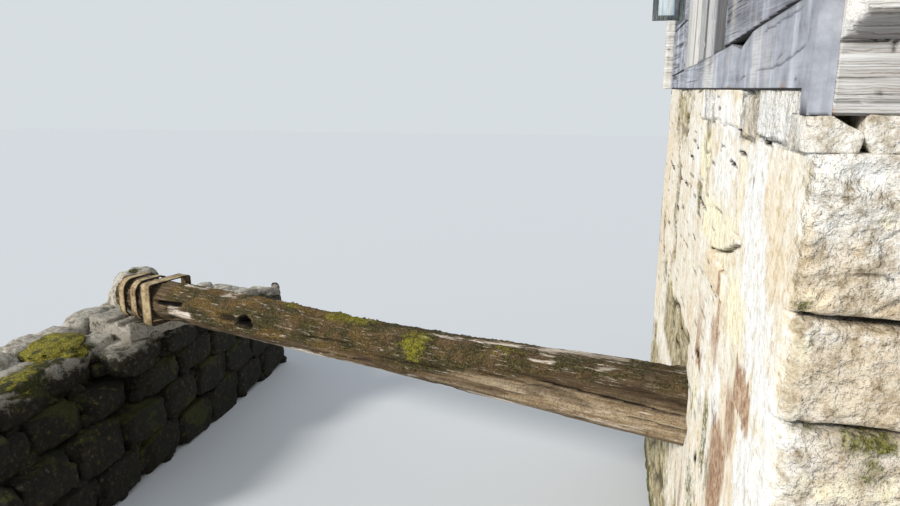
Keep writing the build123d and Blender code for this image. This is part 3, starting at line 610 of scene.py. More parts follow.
def front_face(x, z):
    """How far the front end stands out at a place, and its masks. The blocks bulge between joints,
    and each stands out a little over the one below it."""
    course = 0
    above = below = 1.0
    for i in range(len(block_beds)):
        away = z - bed_line(i, x)
        if away > 0:
            course, below = i + 1, away
        else:
            above = min(above, -away)
    width = bed_half * (0.45 + 1.1 * smooth(-0.05, 0.3, x)) if course > 5 and x < bed_bend_x else bed_half
    joint = 1 - smooth(0.5, 1.5, min(above, below) / width)
    edge = min(above, below)
    joint_x = block_first_joints[course]
    while joint_x < mill_width - block_least_end:
        away = abs(x - joint_x - 0.02 * swell(z * 4, joint_x, 3))
        edge = min(edge, away)
        joint = max(joint, 1 - smooth(0.5, 1.5, away / bed_half))
        joint_x += block_length
    pillow = 0.020 * smooth(0.0, 0.05, edge)
    overhang = 0.012 * smooth(0.30, 0.0, below) - 0.006 * smooth(0.15, 0.0, above)
    own = 0.008 * swell(course * 3.7, round(x), 8)
    broken = smooth(-0.1, 0.3, swell(x * 2.5, z * 3.1, 21))
    hewn = 0.015 * rugged(x * 3.8, z * 5.0, 13, 6, 0.8, 2.15)
    ridges = 0.0165 * noise.ridged_multi_fractal(Vector((x * 3 + z * 2, z * 8 - x * 2, 2)), 0.8, 2.2, 5,
                                                 1.0, 2.0)
    ripples = 0.0040 * swell(x * 11 - z * 16, z * 46 - x * 22, 6) * (1 - broken)
    crack = crack_depth(x, z, block_cracks)
    out = pillow + overhang + own + hewn + ridges * (0.3 + 0.7 * broken) + ripples - 0.030
    out -= bed_depth * joint + crack
    masks = {kind: amount_of(kind, x, z, block_patches)
             for kind in ("lime", "white", "yellow", "ochre", "rust", "moss")}
    masks["rough"] = 1 - 0.45 * masks["lime"]
    masks["block"] = 1.0
    # The dark mask is painted shade in the wide-open joints and in the cracks.
    masks["dark"] = max(0.92 * joint * (1 - 0.7 * masks["moss"]), min(0.6, 70 * crack))
    return out, masks


corner_stone_bed = 3.925
corner_stone_depth = 0.24
corner_heel_depth = 0.1144
corner_heel_bed = 4.05
# The net over the faces is finest where they are seen from nearest: (up to, spacing).
heights_net = ((2.2, 0.034), (2.85, 0.016), (4.13, 0.0105))
lengths_net = ((0.16, 0.008), (0.7, 0.014), (2.0, 0.020), (3.2, 0.030), (5.44, 0.042))
widths_net = ((0.12, 0.008), (0.6, 0.0115))
sharp_radius, limed_radius, limed_below = 0.03, 0.07, 3.34


def race_wall_shape():
    """The wall as one mass, with the rest for the corner stone and the timber's heel cut at its top."""
    bm = bmesh.new()
    outline = [(0, 0), (mill_length, 0), (mill_length, wall_high.z), (corner_heel_depth, wall_high.z),
               (corner_heel_depth, corner_heel_bed), (corner_stone_depth, corner_heel_bed),
               (corner_stone_depth, corner_stone_bed), (0, corner_stone_bed)]
    verts = [bm.verts.new((face_x, front_y + y, z)) for y, z in outline]
    face = bm.faces.new(verts)
    thick = bmesh.ops.extrude_face_region(bm, geom=[face])
    moved = [part for part in thick["geom"] if isinstance(part, bmesh.types.BMVert)]
    bmesh.ops.translate(bm, verts=moved, vec=(wall_high.x - face_x, 0, 0))
    bmesh.ops.recalc_face_normals(bm, faces=bm.faces)
    return bm


touch = 0.0001
mill_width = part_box("land_wall")[1].x - face_x
door_low, door_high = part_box("door_frame")
lintel_low, lintel_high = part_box("door_lintel")


def plain_face(u, v, seed):
    """The same masonry away from the race: rubble under worn lime."""
    worn = rugged(u * 1.5, v * 1.9, seed)
    lime = smooth(-0.55, -0.05, worn) * smooth(0.1, 0.9, v)
    stones, joint = rubble(u, v, seed, 0.42, 0.21)
    lumps = 0.014 * rugged(u * 3.1, v * 3.4, seed, 5, 1.0, 2.2)
    masks = {
        "lime": lime,
        "rough": 1 - 0.5 * lime,
        # Painted shade in the open joints between bare stones.
        "dark": 0.55 * joint * (1 - lime),
        "ochre": 0.6 * smooth(0.15, 0.5, swell(u * 0.9, v * 0.7, seed + 5)),
        "moss": 0.8 * smooth(0.35, 0.0, v + 0.3 * worn),
    }
    return 0.01 * lime + stones * (1 - 0.8 * lime) + lumps, masks


def clear_of_door(y, z):
    """0 at the edges of the doorway and its lintel and 1 away from them, so that they stay straight."""
    near = 1.0
    for low, high in ((door_low, door_high), (lintel_low, lintel_high)):
        away = max(low.y - front_y - y, y - high.y + front_y, z - high.z)
        near = min(near, smooth(0.0, 0.1, away))
    return near


def corner_face(x, y, z, on_race):
    """The two faces that meet at the front corner over the race, which is rounded and more so where
    it is limed: where a point of them goes, and its masks."""
    radius = sharp_radius + (limed_radius - sharp_radius) * smooth(limed_below + 0.03, limed_below - 0.06, z)
    radius += 0.012 * swell(z * 7, 0, 3)
    away = max(x, y)
    lean, share = 0.0, 1.0
    if away < radius:
        lean = pi / 4 * (1 - away / radius)
        share = 0.5 + 0.5 * away / radius
        near, far = radius * (1 - cos(lean)), radius * (1 - sin(lean))
        x, y = (near, far) if on_race else (far, near)
    outward = Vector((-cos(lean), -sin(lean), 0)) if on_race else Vector((-sin(lean), -cos(lean), 0))
    race_share = share if on_race else 1 - share
    race_out, race_masks = race_face(y, z) if race_share > 0 else (0.0, {})
    front_out, front_masks = front_face(x, z) if race_share < 1 else (0.0, {})
    batter = race_batter * (1 - z / wall_high.z) * max(0.0, 1 - x / (wall_high.x - face_x))
    place = Vector((face_x + x - batter, front_y + y, z))
    place += outward * (race_share * race_out + (1 - race_share) * front_out)
    masks = {mask: race_share * race_masks.get(mask, 0) + (1 - race_share) * front_masks.get(mask, 0)
             for mask in MASKS}
    return place, masks


def mask_layers(bm, names):
    """Where a shape carries its masks, point by point."""
    floats = bm.verts.layers.float
    return {name: floats.get(name) or floats.new(name) for name in names}


def paint(vert, layers, masks):
    """Writes the masks of one point, each from 0 to 1."""
    for mask, amount in masks.items():
        vert[layers[mask]] = min(1.0, max(0.0, amount))


def wear_masonry(bm):
    """Wears the faces of a wall that are open to the weather, each with its own relief."""
    layers = mask_layers(bm, MASKS)
    for vert in bm.verts:
        x, y, z = from_corner(vert.co)
        masks = {}
        if abs(x) < touch or abs(y) < touch:
            place, masks = corner_face(x, y, z, abs(x) < touch)
            vert.co = place
        if abs(x - mill_width) < touch:
            out, masks = plain_face(y, z, 21.0)
            vert.co.x += out * clear_of_door(y, z)
        if abs(y - mill_length) < touch:
            out, masks = plain_face(x, z, 34.0)
            vert.co.y += out
        paint(vert, layers, masks)


def net(bm, axis, sign, spacing, least=0.9):
    """Cuts the faces on one side into a net of small ones, spaced by its own step along each axis."""
    faces = facing(bm, axis, sign, least)
    corners = {vert for face in faces for vert in face.verts}
    for other in range(3):
        if other != axis:
            low = min(vert.co[other] for vert in corners)
            high = max(vert.co[other] for vert in corners)
            faces = cut_across(bm, faces, other, steps(low, high, spacing[other]))


def net_places(table):
    """The cuts of a net, from how far each spacing runs."""
    places, low = [], 0.0
    for high, spacing in table:
        places += steps(low, high, spacing) + [high]
        low = high
    return places[:-1]


wall = race_wall_shape()
outer = cut_across(wall, facing(wall, along_x, -1), along_z, net_places(heights_net))
cut_across(wall, outer, along_y, [front_y + y for y in net_places(lengths_net)])
front = cut_across(wall, facing(wall, along_y, -1), along_z, net_places(heights_net))
cut_across(wall, front, along_x, [face_x + x for x in net_places(widths_net)])
back = cut_across(wall, facing(wall, along_y, 1), along_z, steps(0, wall_high.z, 0.08))
cut_across(wall, back, along_x, [face_x + x for x in steps(0, wall_high.x - face_x, 0.06)])
wear_masonry(wall)
stand(wall, "race_wall_masonry", limed_masonry, ["race_wall"], sharp=0)

# Front end, back end and land walls
# The rest of the stone storey. The front end is of very large blocks, roughly squared, with thin
# wide-open joints. The other two walls are rubble again, under what is left of their lime.

block_net, rubble_net = (0.024, 0.024, 0.024), (0.045, 0.045, 0.045)
for wall_name, wall_slot, wall_sides in (
    ("front_end_wall", "rough_blocks", ((along_y, -1, block_net),)),
    ("back_end_wall", "limed_rubble", ((along_y, 1, rubble_net),)),
    ("land_wall", "limed_rubble", ((along_x, 1, rubble_net), (along_y, -1, block_net),
                                   (along_y, 1, rubble_net))),
):
    masonry = from_node(wall_name)
    for axis, sign, spacing in wall_sides:
        net(masonry, axis, sign, spacing)
    wear_masonry(masonry)
    stand(masonry, wall_name + "_masonry", limed_masonry, [wall_name], sharp=0)

# Levelling stones and door sill
# Flat pieces of pale stone laid dry on the blocks to carry the timbers, with black gaps where
# their pointed ends meet. The sill under the door is one block of the same stone.


def roughen(bm, size, amount, grit=0.0, grit_size=0.02):
    """Knocks a stone or a piece of wood out of shape along its own surface."""
    bm.normal_update()
    moves = []
    for vert in bm.verts:
        lump = noise.fractal(vert.co / size, 0.9, 2.1, 4)
        fine = noise.fractal(vert.co / grit_size, 0.8, 2.1, 3) if grit else 0
        moves.append(vert.normal * (amount * lump + grit * fine))
    for vert, move in zip(bm.verts, moves):
        vert.co += move


def ease(bm, width, segments=2):
    """Takes the sharp edges off a shape."""
    bm.normal_update()
    edges = [e for e in bm.edges if len(e.link_faces) == 2 and e.calc_face_angle(0) > radians(20)]
    bmesh.ops.bevel(bm, geom=edges, offset=width, segments=segments, profile=0.5, material=-1,
                    affect="EDGES", clamp_overlap=True)


def cut_all(bm, spacing):
    """Cuts a whole shape into pieces no larger than the spacing along each axis."""
    for axis in range(3):
        places = [vert.co[axis] for vert in bm.verts]
        cut_across(bm, bm.faces, axis, steps(min(places), max(places), spacing[axis]))


def tint(bm, **amounts):
    """Paints masks over a shape: a plain amount, or a function of the point."""
    layers = mask_layers(bm, amounts)
    for vert in bm.verts:
        paint(vert, layers, {mask: amount(vert) if callable(amount) else amount
                             for mask, amount in amounts.items()})


for stone_name, stone_round, stone_cut in (
    ("levelling_stones", 0.004, (0.022, 0.05, 0.016)), ("door_sill_stone", 0.015, (0.05, 0.05, 0.03)),
):
    stones = from_node(stone_name)
    ease(stones, stone_round, 1)
    cut_all(stones, stone_cut)
    roughen(stones, 0.16, 0.009, 0.003)
    tint(stones, white=lambda v: 0.2 * smooth(-0.3, 0.3, noise.noise(v.co * 6)), rough=0.8, block=1.0)
    stand(stones, stone_name + "_rough", limed_masonry, [stone_name])

# Timbers of the upper storey
# Hewn planks on edge, each thicker at one end than at the other, bare to the weather for so long
# that they are silver, with blue in the shade and pale streaks where the rain runs down them.


def wavy_lines(vector, wander):
    """Fine lines that wander, spaced a little under a third of the stretch along the last axis."""
    node = vector.id_data.nodes.new("ShaderNodeTexWave")
    node.bands_direction = "Z"
    feed(node, {"Vector": vector, "Scale": 1.0, "Distortion": wander, "Detail": 3.0, "Detail Roughness": 0.6})
    return node.outputs["Fac"]


def wood_finish(name, along, dark, middle, pale, streak=0.0, crack=0.6, fibre=0.016, turn=(0, 0, 0),
                rings=0.0):
    """Weathered wood with its grain along one axis. The mesh carries stains, pale and dark places, and
    where the wood is worn so smooth that its grain hardly shows. rings draws the grain's lines."""
    material, tree, shader = new_finish(name, 0.88)

    def drawn_out(width, length):
        stretch = [width] * 3
        stretch[along] = length
        return place_in(tree, stretch, turn)

    worn = reckon("SUBTRACT", 1.0, painted(tree, "calm"))
    grain = cloud(drawn_out(fibre * 2.4, 0.9), 1.0, 8, 0.62)
    fine = cloud(drawn_out(fibre * 0.5, 0.35), 1.0, 4, 0.6)
    blotch = cloud(place_in(tree), 5.0, 7, 0.66)
    colour = shades(grain, (0.33, *dark), (0.5, *middle), (0.67, *pale))
    colour = blend(times(ramp(blotch, 0.45, 0.7), 0.45), colour, pale)
    colour = blend(times(ramp(fine, 0.56, 0.40), 0.35), colour, dark)
    soft = shades(blotch, (0.28, *dark), (0.44, *middle), (0.66, *pale))
    colour = blend(times(painted(tree, "calm"), 0.8), colour, soft)
    if streak:
        rain = cloud(place_in(tree, (0.10, 0.20, 1.6)), 1.0, 7, 0.6)
        wet = times(ramp(rain, 0.50, 0.70), streak)
        colour = blend(wet, colour, (222, 225, 233))
        dull = times(ramp(rain, 0.46, 0.30), streak * 0.6)
        colour = blend(dull, colour, dark)
    if rings:
        ring = ramp(wavy_lines(drawn_out(0.036, 0.11), 8.0), 0.36, 0.06)
        ring = times(ring, times(ramp(grain, 0.60, 0.44), rings))
        colour = blend(ring, colour, (126, 114, 104))
    # The splits are thin dark lines of painted shade, with a small bump.
    split = cloud(drawn_out(fibre * 4, 7.0), 1.0, 1, 0.5)
    away = reckon("ABSOLUTE", reckon("SUBTRACT", split, 0.5))
    there = ramp(cloud(drawn_out(0.12, 0.9), 1.0, 3, 0.6), 0.48, 0.56)
    line = times(ramp(away, 0.018, 0.004), times(there, crack))
    line = times(line, worn)
    colour = blend(line, colour, (52, 46, 42))
    colour = blend(painted(tree, "stain"), colour, (158, 112, 66))
    colour = blend(painted(tree, "pale"), colour,
                   shades(fine, (0.35, 196, 190, 180), (0.6, 240, 237, 230)))
    # The mesh's dark mask is mostly painted shade and shadow, in cracks, joints, holes and on faces that lean
    # down, and partly darker wood.
    colour = blend(painted(tree, "dark"), colour, (30, 26, 22))
    dress(shader, colour, [(times(grain, worn), 0.006), (times(fine, worn), 0.003), (line, -0.006)])
    return material


def wood_relief(u, v, seed, depth):
    """How a weathered face stands out, u along its grain and v across it, and how open its cracks are."""
    wander = 0.03 * swell(u * 0.6, v * 1.2, seed)
    ribs = rugged(u * 1.4, (v + wander) * 34, seed, 3, 0.8, 2.2)
    broad = swell(u * 0.8, v * 3.5, seed + 7)
    line = abs(swell(u * 0.16, (v + wander) * 13, seed + 3))
    there = smooth(0.10, 0.35, swell(u * 1.3, v * 3, seed + 11))
    split = there * (1 - smooth(0.01, 0.07, line))
    return depth * (0.35 * ribs + 0.8 * broad - 1.3 * split), split


# Places are metres along the wall from its corner, then metres up, as in the tables of the stone walls.
race_timber_patches = {
    "pale": ((1.66, 1.80, 4.42, 5.0, 0.06, 0.2, 0.75), (0.92, 1.06, 4.14, 4.40, 0.08, 0.1, 0.5),
             (0.68, 0.80, 4.16, 4.40, 0.08, 0.1, 0.28), (0.0, 0.24, 4.50, 4.95, 0.08, 0.10, 0.75),
             (2.3, 2.8, 4.10, 4.34, 0.10, 0.06, 0.6)),
    "stain": ((0.90, 0.96, 4.12, 4.145, 0.03, 0.012, 0.6), (0.36, 0.44, 4.12, 4.155, 0.03, 0.015, 0.6),
              (1.64, 1.74, 4.12, 4.145, 0.04, 0.012, 0.8)),
    "dark": ((0.95, 2.3, 4.43, 5.1, 0.25, 0.04, 0.34), (0.19, 0.215, 4.165, 4.178, 0.01, 0.005, 0.8),
             (1.64, 1.74, 4.12, 4.14, 0.04, 0.012, 0.4), (2.44, 2.56, 4.24, 4.34, 0.05, 0.04, 0.3)),
}
# On the front end, the long dark band is painted shade on the chopped face of the second timber, which leans
# down. The long pale band over it is broken pale wood, painted lighter too where it looks up into the light.
end_timber_patches = {
    "pale": ((-0.1, 0.040, 4.30, 4.75, 0.03, 0.02, 0.9), (0.0, 0.9, 4.385, 4.62, 0.2, 0.02, 0.9)),
    "dark": ((0.176, 0.196, 4.118, 4.130, 0.008, 0.006, 0.95), (0.10, 4.7, 4.27, 4.372, 0.04, 0.012, 0.36)),
    "stain": ((-0.05, 0.045, 4.03, 4.075, 0.03, 0.012, 0.9),),
}
race_timber_cracks = (
    (0.70, 4.218, 0.93, 4.221, 0.004, 0.004), (0.435, 4.234, 0.70, 4.218, 0.005, 0.006),
    (0.12, 4.281, 0.435, 4.234, 0.005, 0.005), (1.20, 4.202, 1.33, 4.184, 0.005, 0.005),
    (0.45, 4.272, 0.54, 4.250, 0.004, 0.004), (0.2, 4.42, 0.9, 4.375, 0.005, 0.004),
    (0.05, 4.62, 1.0, 4.60, 0.006, 0.008), (0.2, 4.78, 1.5, 4.80, 0.007, 0.010),
    (1.0, 4.56, 1.6, 4.59, 0.006, 0.008),
)
end_timber_cracks = (
    (0.045, 4.095, 0.15, 4.094, 0.004, 0.008), (0.15, 4.094, 0.9, 4.112, 0.004, 0.008),
    (0.154, 4.360, 0.158, 4.285, 0.005, 0.010), (0.222, 4.335, 0.212, 4.255, 0.005, 0.012),
    (0.30, 4.35, 0.29, 4.27, 0.005, 0.010), (0.5, 4.22, 1.3, 4.20, 0.006, 0.010),
    (1.6, 4.16, 2.6, 4.19, 0.006, 0.012), (0.0, 4.312, 0.06, 4.300, 0.004, 0.006),
    (2.2, 4.5, 3.4, 4.53, 0.007, 0.014), (0.6, 4.8, 2.0, 4.77, 0.007, 0.014),
)
second_joint_height, second_timber_height = 4.295, 0.33
end_joint_fall = 0.0096
chop_start, chop_top = 0.06, 0.26
lowest_timber_top, lowest_timber_fall, lowest_timber_foot = 4.47, 0.055, 2.2
timbers_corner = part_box("race_side_timbers")[0]


def wear_timbers(bm, depth, table, cracks=(), under=0.55):
    """Wears the outer faces of the wall timbers along their grain, and their ends across it. The
    lowest side timber and the ends are worn smooth. Painted shade goes into the cracks and onto
    the faces that look up or down in the joints between timbers; under sets it on the undersides."""
    bm.normal_update()
    layers = mask_layers(bm, ("pale", "stain", "dark", "calm"))
    moves = []
    for vert in bm.verts:
        x, y, z = from_corner(vert.co)
        side = abs(vert.normal.x) > abs(vert.normal.y)
        u, seed = (y, 2.0) if side else (x, 31.0)
        top = lowest_timber_top - lowest_timber_fall * y - 0.09 * max(0, y - lowest_timber_foot)
        end_grain = not side and x < 0.11 and depth < 0.0065
        calm = 1.0 if end_grain else side * smooth(0.0, -0.03, z - top)
        corner = abs(vert.co.y - timbers_corner.y if side else vert.co.x - timbers_corner.x)
        flat = smooth(0.80, 0.97, max(abs(vert.normal.x), abs(vert.normal.y))) * smooth(0.008, 0.04, corner)
        out, split = wood_relief(u, z, seed, depth)
        crack = crack_depth(u, z, cracks) * flat
        moves.append(vert.normal * (out * flat * (1 - 0.6 * calm) - crack))
        masks = {kind: amount_of(kind, u, z, table) for kind in table}
        if end_grain:
            masks["pale"] = 0.0
        # Painted shade: in splits and cracks, and on the faces that look up or down in the joints.
        masks["dark"] = max(masks.get("dark", 0), 0.7 * split * (1 - calm) * flat, min(0.6, 140 * crack),
                            0.55 * (vert.normal.z > 0.6), under * (vert.normal.z < -0.6))
        masks["calm"] = calm
        paint(vert, layers, masks)
    for vert, move in zip(bm.verts, moves):
        vert.co += move


side_net = (0.012, 0.03, 0.013)
silver_side = wood_finish("silver_side_timber", along_y, (104, 106, 112), (154, 156, 163),
                          (186, 188, 195), streak=0.6, crack=0.5)
silver_end = wood_finish("silver_end_timber", along_x, (146, 138, 129), (200, 196, 191),
                         (230, 228, 224), crack=0.5, fibre=0.011, rings=0.62)
board_wood = wood_finish("silver_wall_board", along_z, (124, 122, 123), (186, 185, 187),
                         (222, 221, 221), crack=0.8, fibre=0.012)

# Hewn faces lean, so they count as facing a side when they do so by this share at least.
hewn_least = 0.6

race_timbers = from_node("race_side_timbers")
net(race_timbers, along_y, -1, side_net)
race_outer = cut_across(race_timbers, facing(race_timbers, along_x, -1, hewn_least), along_z,
                        steps(4.1, 4.46, 0.008) + steps(4.46, 6.0, 0.016))
race_places = net_places(((2.6, 0.03), (mill_length, 0.07)))
cut_across(race_timbers, race_outer, along_y, [front_y + y for y in race_places])
wear_timbers(race_timbers, 0.006, race_timber_patches, race_timber_cracks, under=0.9)
stand(race_timbers, "race_side_timbers_worn", silver_side, ["race_side_timbers"],
      sharp=28)

land_timbers = from_node("land_side_timbers")
net(land_timbers, along_x, 1, (0.012, 0.06, 0.025), hewn_least)
net(land_timbers, along_y, -1, side_net)
wear_timbers(land_timbers, 0.007, {})
stand(land_timbers, "land_side_timbers_worn", silver_side, ["land_side_timbers"])

front_timbers = from_node("front_end_timbers")
front_outer = cut_across(front_timbers, facing(front_timbers, along_y, -1, hewn_least), along_z,
                         steps(4.04, 4.70, 0.009) + steps(4.70, 6.0, 0.022))
front_places = net_places(((0.45, 0.012), (mill_width, 0.06)))
cut_across(front_timbers, front_outer, along_x, [face_x + x for x in front_places])
for vert in front_timbers.verts:
    x, y, z = from_corner(vert.co)
    share = (z - second_joint_height + end_joint_fall * x) / second_timber_height
    if y < 0.02 and 0 <= share < 1:
        chopped = smooth(chop_start - 0.03, chop_start + 0.04, x)
        lean = smooth(0.0, chop_top, share) * (1 - 0.6 * smooth(chop_top, 1.0, share))
        broken = rugged(x * 9, share * 6, 1) * smooth(0.8 * chop_top, 1.1 * chop_top, share)
        vert.co.y -= 0.022 + 0.070 * chopped * lean + 0.014 * broken
wear_timbers(front_timbers, 0.008, end_timber_patches, end_timber_cracks)
stand(front_timbers, "front_end_timbers_worn", silver_end, ["front_end_timbers"])

back_timbers = from_node("back_end_timbers")
net(back_timbers, along_y, 1, (0.05, 0.02, 0.025), hewn_least)
net(back_timbers, along_y, -1, (0.03, 0.02, 0.02), hewn_least)
net(back_timbers, along_x, -1, (0.02, 0.015, 0.015))
wear_timbers(back_timbers, 0.008, {})
tint(back_timbers, pale=lambda v: 0.75 * (v.co.x < face_x - 0.02))
stand(back_timbers, "back_end_timbers_worn", silver_end, ["back_end_timbers"])

# Upright boards over the race
# Odd boards nailed upright over a wide gap in the timbers, some nearly white, with a soft painted
# shadow from the timbers' ends down the front ones, and with peg holes where an older frame was fixed.

# How pale and how dark each board is, from the front on.
board_shades = ((0.0, 0.45), (0.0, 0.06), (0.35, 0.02), (0.15, 0.16), (1.0, 0.0), (0.8, 0.0), (0.5, 0.1))
# How many boards from the front lie in the painted shadow of the timbers' ends, and where it has faded out.
boards_in_full_shadow, boards_past_shadow = 1.45, 1.75
wall_boards = from_node("race_side_boards")
net(wall_boards, along_x, -1, (0.01, 0.014, 0.03), hewn_least)
boards_low, boards_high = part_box("race_side_boards")
board_pitch = (boards_high.y - boards_low.y) / len(board_shades)
# Peg holes: place along the wall, height and half width.
peg_holes = ((2.72, 4.62, 0.022), (2.55, 4.55, 0.028), (2.95, 4.44, 0.022), (3.35, 4.5, 0.02),
             (3.38, 4.44, 0.02))


def board_of(vert):
    """Which of the boards a point is on."""
    return min(len(board_shades) - 1, max(0, int((vert.co.y - boards_low.y) / board_pitch)))


def peg_hole(vert):
    """1 in a peg hole and 0 away from it."""
    y, z = vert.co.y - front_y, vert.co.z
    return max(1 - smooth(0.6, 1.2, hypot(y - hole_y, z - hole_z) / half)
               for hole_y, hole_z, half in peg_holes)


def board_dark(vert):
    """How dark a board is: by its own tone, with painted shade in peg holes and on its edges, and a
    painted shadow down the front strip.
    """
    along = (vert.co.y - boards_low.y) / board_pitch
    return max(board_shades[board_of(vert)][1], peg_hole(vert), 0.6 * (abs(vert.normal.y) > 0.6),
               0.72 * smooth(boards_past_shadow, boards_in_full_shadow, along))


wall_boards.normal_update()
for vert in wall_boards.verts:
    if vert.normal.x < -0.6:
        out, split = wood_relief(vert.co.z, vert.co.y, 3.0 + board_of(vert), 0.006)
        vert.co.x -= out - 0.02 * peg_hole(vert)
tint(wall_boards, pale=lambda v: board_shades[board_of(v)][0], dark=board_dark)
stand(wall_boards, "race_side_boards_worn", board_wood, ["race_side_boards"])

# Floor, tie beams and roof frame
# Sawn and hewn timber kept dry under the roof, so it is still brown.

inner_brown = ((92, 70, 46), (140, 110, 76), (176, 146, 108))
wood_across = wood_finish("inner_timber_across", along_x, *inner_brown)
wood_lengthwise = wood_finish("inner_board_lengthwise", along_y, *inner_brown)
roof_pitch = radians(41)


def eased(name, finish, width, wobble=0.0, cut=None):
    """A CAD piece with its edges worn, in its own finish."""
    bm = from_node(name)
    ease(bm, width)
    if cut:
        cut_all(bm, cut)
        roughen(bm, 0.25, wobble)
    stand(bm, name + "_eased", finish, [name], sharp=30)


rng = random.Random(41)


def boards_from(name, across, widths, gap, back):
    """Parts a CAD sheet into the boards that it stands for, across a direction, each set back by its
    own depth."""
    joined = bmesh.new()
    whole = from_node(name)
    reach = [vert.co.dot(across) for vert in whole.verts]
    edge, last = min(reach), max(reach)
    while edge < last - gap:
        end = edge + rng.uniform(*widths)
        if last - end < widths[0] / 2:
            end = last
        board = whole.copy()
        for place, keep in ((edge + gap / 2, 1), (end - gap / 2, -1)):
            everything = board.verts[:] + board.edges[:] + board.faces[:]
            bmesh.ops.bisect_plane(board, geom=everything, plane_co=across * place,
                                   plane_no=across * keep, clear_inner=True)
            bmesh.ops.holes_fill(board, edges=[e for e in board.edges if e.is_boundary], sides=0)
        ease(board, 0.003, 1)
        bmesh.ops.translate(board, verts=board.verts, vec=back * rng.uniform(0, 1))
        part = mesh_of(board, "board")
        joined.from_mesh(part)
        bpy.data.meshes.remove(part)
        edge = end
    whole.free()
    return joined


for piece, width in (("floor_joists", 0.008), ("tie_beams", 0.010), ("collar_ties", 0.004)):
    eased(piece, wood_across, width)
for side, pitch in (("race", -roof_pitch), ("land", roof_pitch)):
    rafter_wood = wood_finish("rafter_" + side, along_x, *inner_brown, turn=(0, pitch, 0))
    eased("rafters_%s_side" % side, rafter_wood, 0.008)
floor_planks = boards_from("floor_boards", Vector((1, 0, 0)), (0.18, 0.27), 0.006, Vector((0, 0, -0.004)))
stand(floor_planks, "floor_planks", wood_lengthwise, ["floor_boards"])

# Gable boards
# Upright boards that close each gable, nailed side by side with open joints.

roof_grey = ((88, 86, 84), (128, 125, 121), (164, 161, 156))
gable_wood = wood_finish("gable_board", along_z, *roof_grey, crack=0.8, fibre=0.013)
for end, inward in (("front", 1), ("back", -1)):
    gable = boards_from("gable_boards_" + end, Vector((1, 0, 0)), (0.15, 0.25), 0.008,
                        Vector((0, 0.006 * inward, 0)))
    stand(gable, "gable_boards_%s_worn" % end, gable_wood, ["gable_boards_" + end])

# Roof covering
# Each slope is laid with split boards and covered with rows of split wooden shakes, each row
# lapping more than half of the row below it. Two boards cap the ridge, and barge boards the verges.

shake_exposure, shake_length, shake_thickness = 0.205, 0.46, 0.017
shake_widths = (0.09, 0.17)
shake_gap = 0.006
shake_bed, shake_tilt = 0.026, 0.045
shake_start, least_row, least_shake = 0.065, 0.12, 0.02
deck_share = 0.42
slope_low, slope_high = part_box("roof_race_slope")
ridge_x = (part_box("ridge_cap")[0].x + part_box("ridge_cap")[1].x) / 2
roof_thickness = 0.085
roof_run = (slope_high.x - slope_low.x) / cos(roof_pitch)
roof_half, roof_rise = roof_run * cos(roof_pitch), roof_run * sin(roof_pitch)
deck_wood = wood_finish("roof_deck", along_y, *roof_grey)


def roof_side(name, towards, finish):
    """One slope: its deck, and the shakes on it, set out from the eave up."""
    deck = from_node(name)
    for vert in deck.verts:
        under = slope_low.z + roof_rise * (1 - abs(vert.co.x - ridge_x) / roof_half)
        if vert.co.z > under + roof_thickness / 2:
            vert.co.z -= roof_thickness * (1 - deck_share) / cos(roof_pitch)
    stand(deck, name + "_deck", deck_wood, [name], sharp=30)

    uphill = Vector((towards * cos(roof_pitch), 0, sin(roof_pitch)))
    outward = Vector((-towards * sin(roof_pitch), 0, cos(roof_pitch)))
    eave = Vector((ridge_x - towards * roof_half, 0, slope_low.z))
    turned = Matrix((uphill, Vector((0, 1, 0)), outward)).transposed().to_4x4()
    shakes = bmesh.new()
    start = shake_start
    while start < roof_run - least_row:
        y = slope_low.y
        while y < slope_high.y - least_shake:
            width = rng.uniform(*shake_widths)
            if slope_high.y - y - width < shake_widths[0]:
                width = slope_high.y - y
            length = min(shake_length * rng.uniform(0.92, 1.03), roof_run - start)
            lift = roof_thickness * deck_share + shake_bed + rng.uniform(-0.002, 0.003)
            middle = eave + uphill * (start + length / 2 + rng.uniform(0, 0.02)) + outward * lift
            middle.y = y + width / 2
            tilt = Matrix.Rotation(shake_tilt * towards + rng.uniform(-0.006, 0.006), 4, "Y")
            size = Matrix.Diagonal((length, width - shake_gap, shake_thickness, 1))
            bmesh.ops.create_cube(shakes, size=1, matrix=Matrix.Translation(middle) @ tilt @ turned @ size)
            y += width
        start += shake_exposure
    bmesh.ops.recalc_face_normals(shakes, faces=shakes.faces)
    stand(shakes, name + "_shakes", finish, sharp=30)


shake_grey = ((84, 80, 76), (124, 119, 112), (168, 164, 158))
for slope, towards, wood in (("roof_race_slope", 1, "split_shake"),
                             ("roof_land_slope", -1, "split_shake_land")):
    roof_side(slope, towards, wood_finish(wood, along_x, *shake_grey, crack=0.7, fibre=0.010,
                                          turn=(0, -towards * roof_pitch, 0)))
barge_wood = wood_finish("barge_board", along_x, *roof_grey, crack=0.8)
eased("ridge_cap", deck_wood, 0.005)
eased("barge_boards_front", barge_wood, 0.004)
eased("barge_boards_back", barge_wood, 0.004)

# Door
# A ledged door of upright boards in a plain frame, under a timber lintel. It is guessed.

door_grey = ((96, 88, 78), (140, 132, 120), (178, 171, 160))
door_wood = wood_finish("door_board", along_z, *door_grey)
ledge_wood = wood_finish("door_ledge", along_y, *door_grey)
door_planks = boards_from("door_leaf", Vector((0, 1, 0)), (0.14, 0.19), 0.004, Vector((-0.003, 0, 0)))
stand(door_planks, "door_planks", door_wood, ["door_leaf"])
eased("door_frame", door_wood, 0.005)
eased("door_ledges", ledge_wood, 0.006)
eased("door_lintel", ledge_wood, 0.012, 0.006, (0.05, 0.06, 0.04))

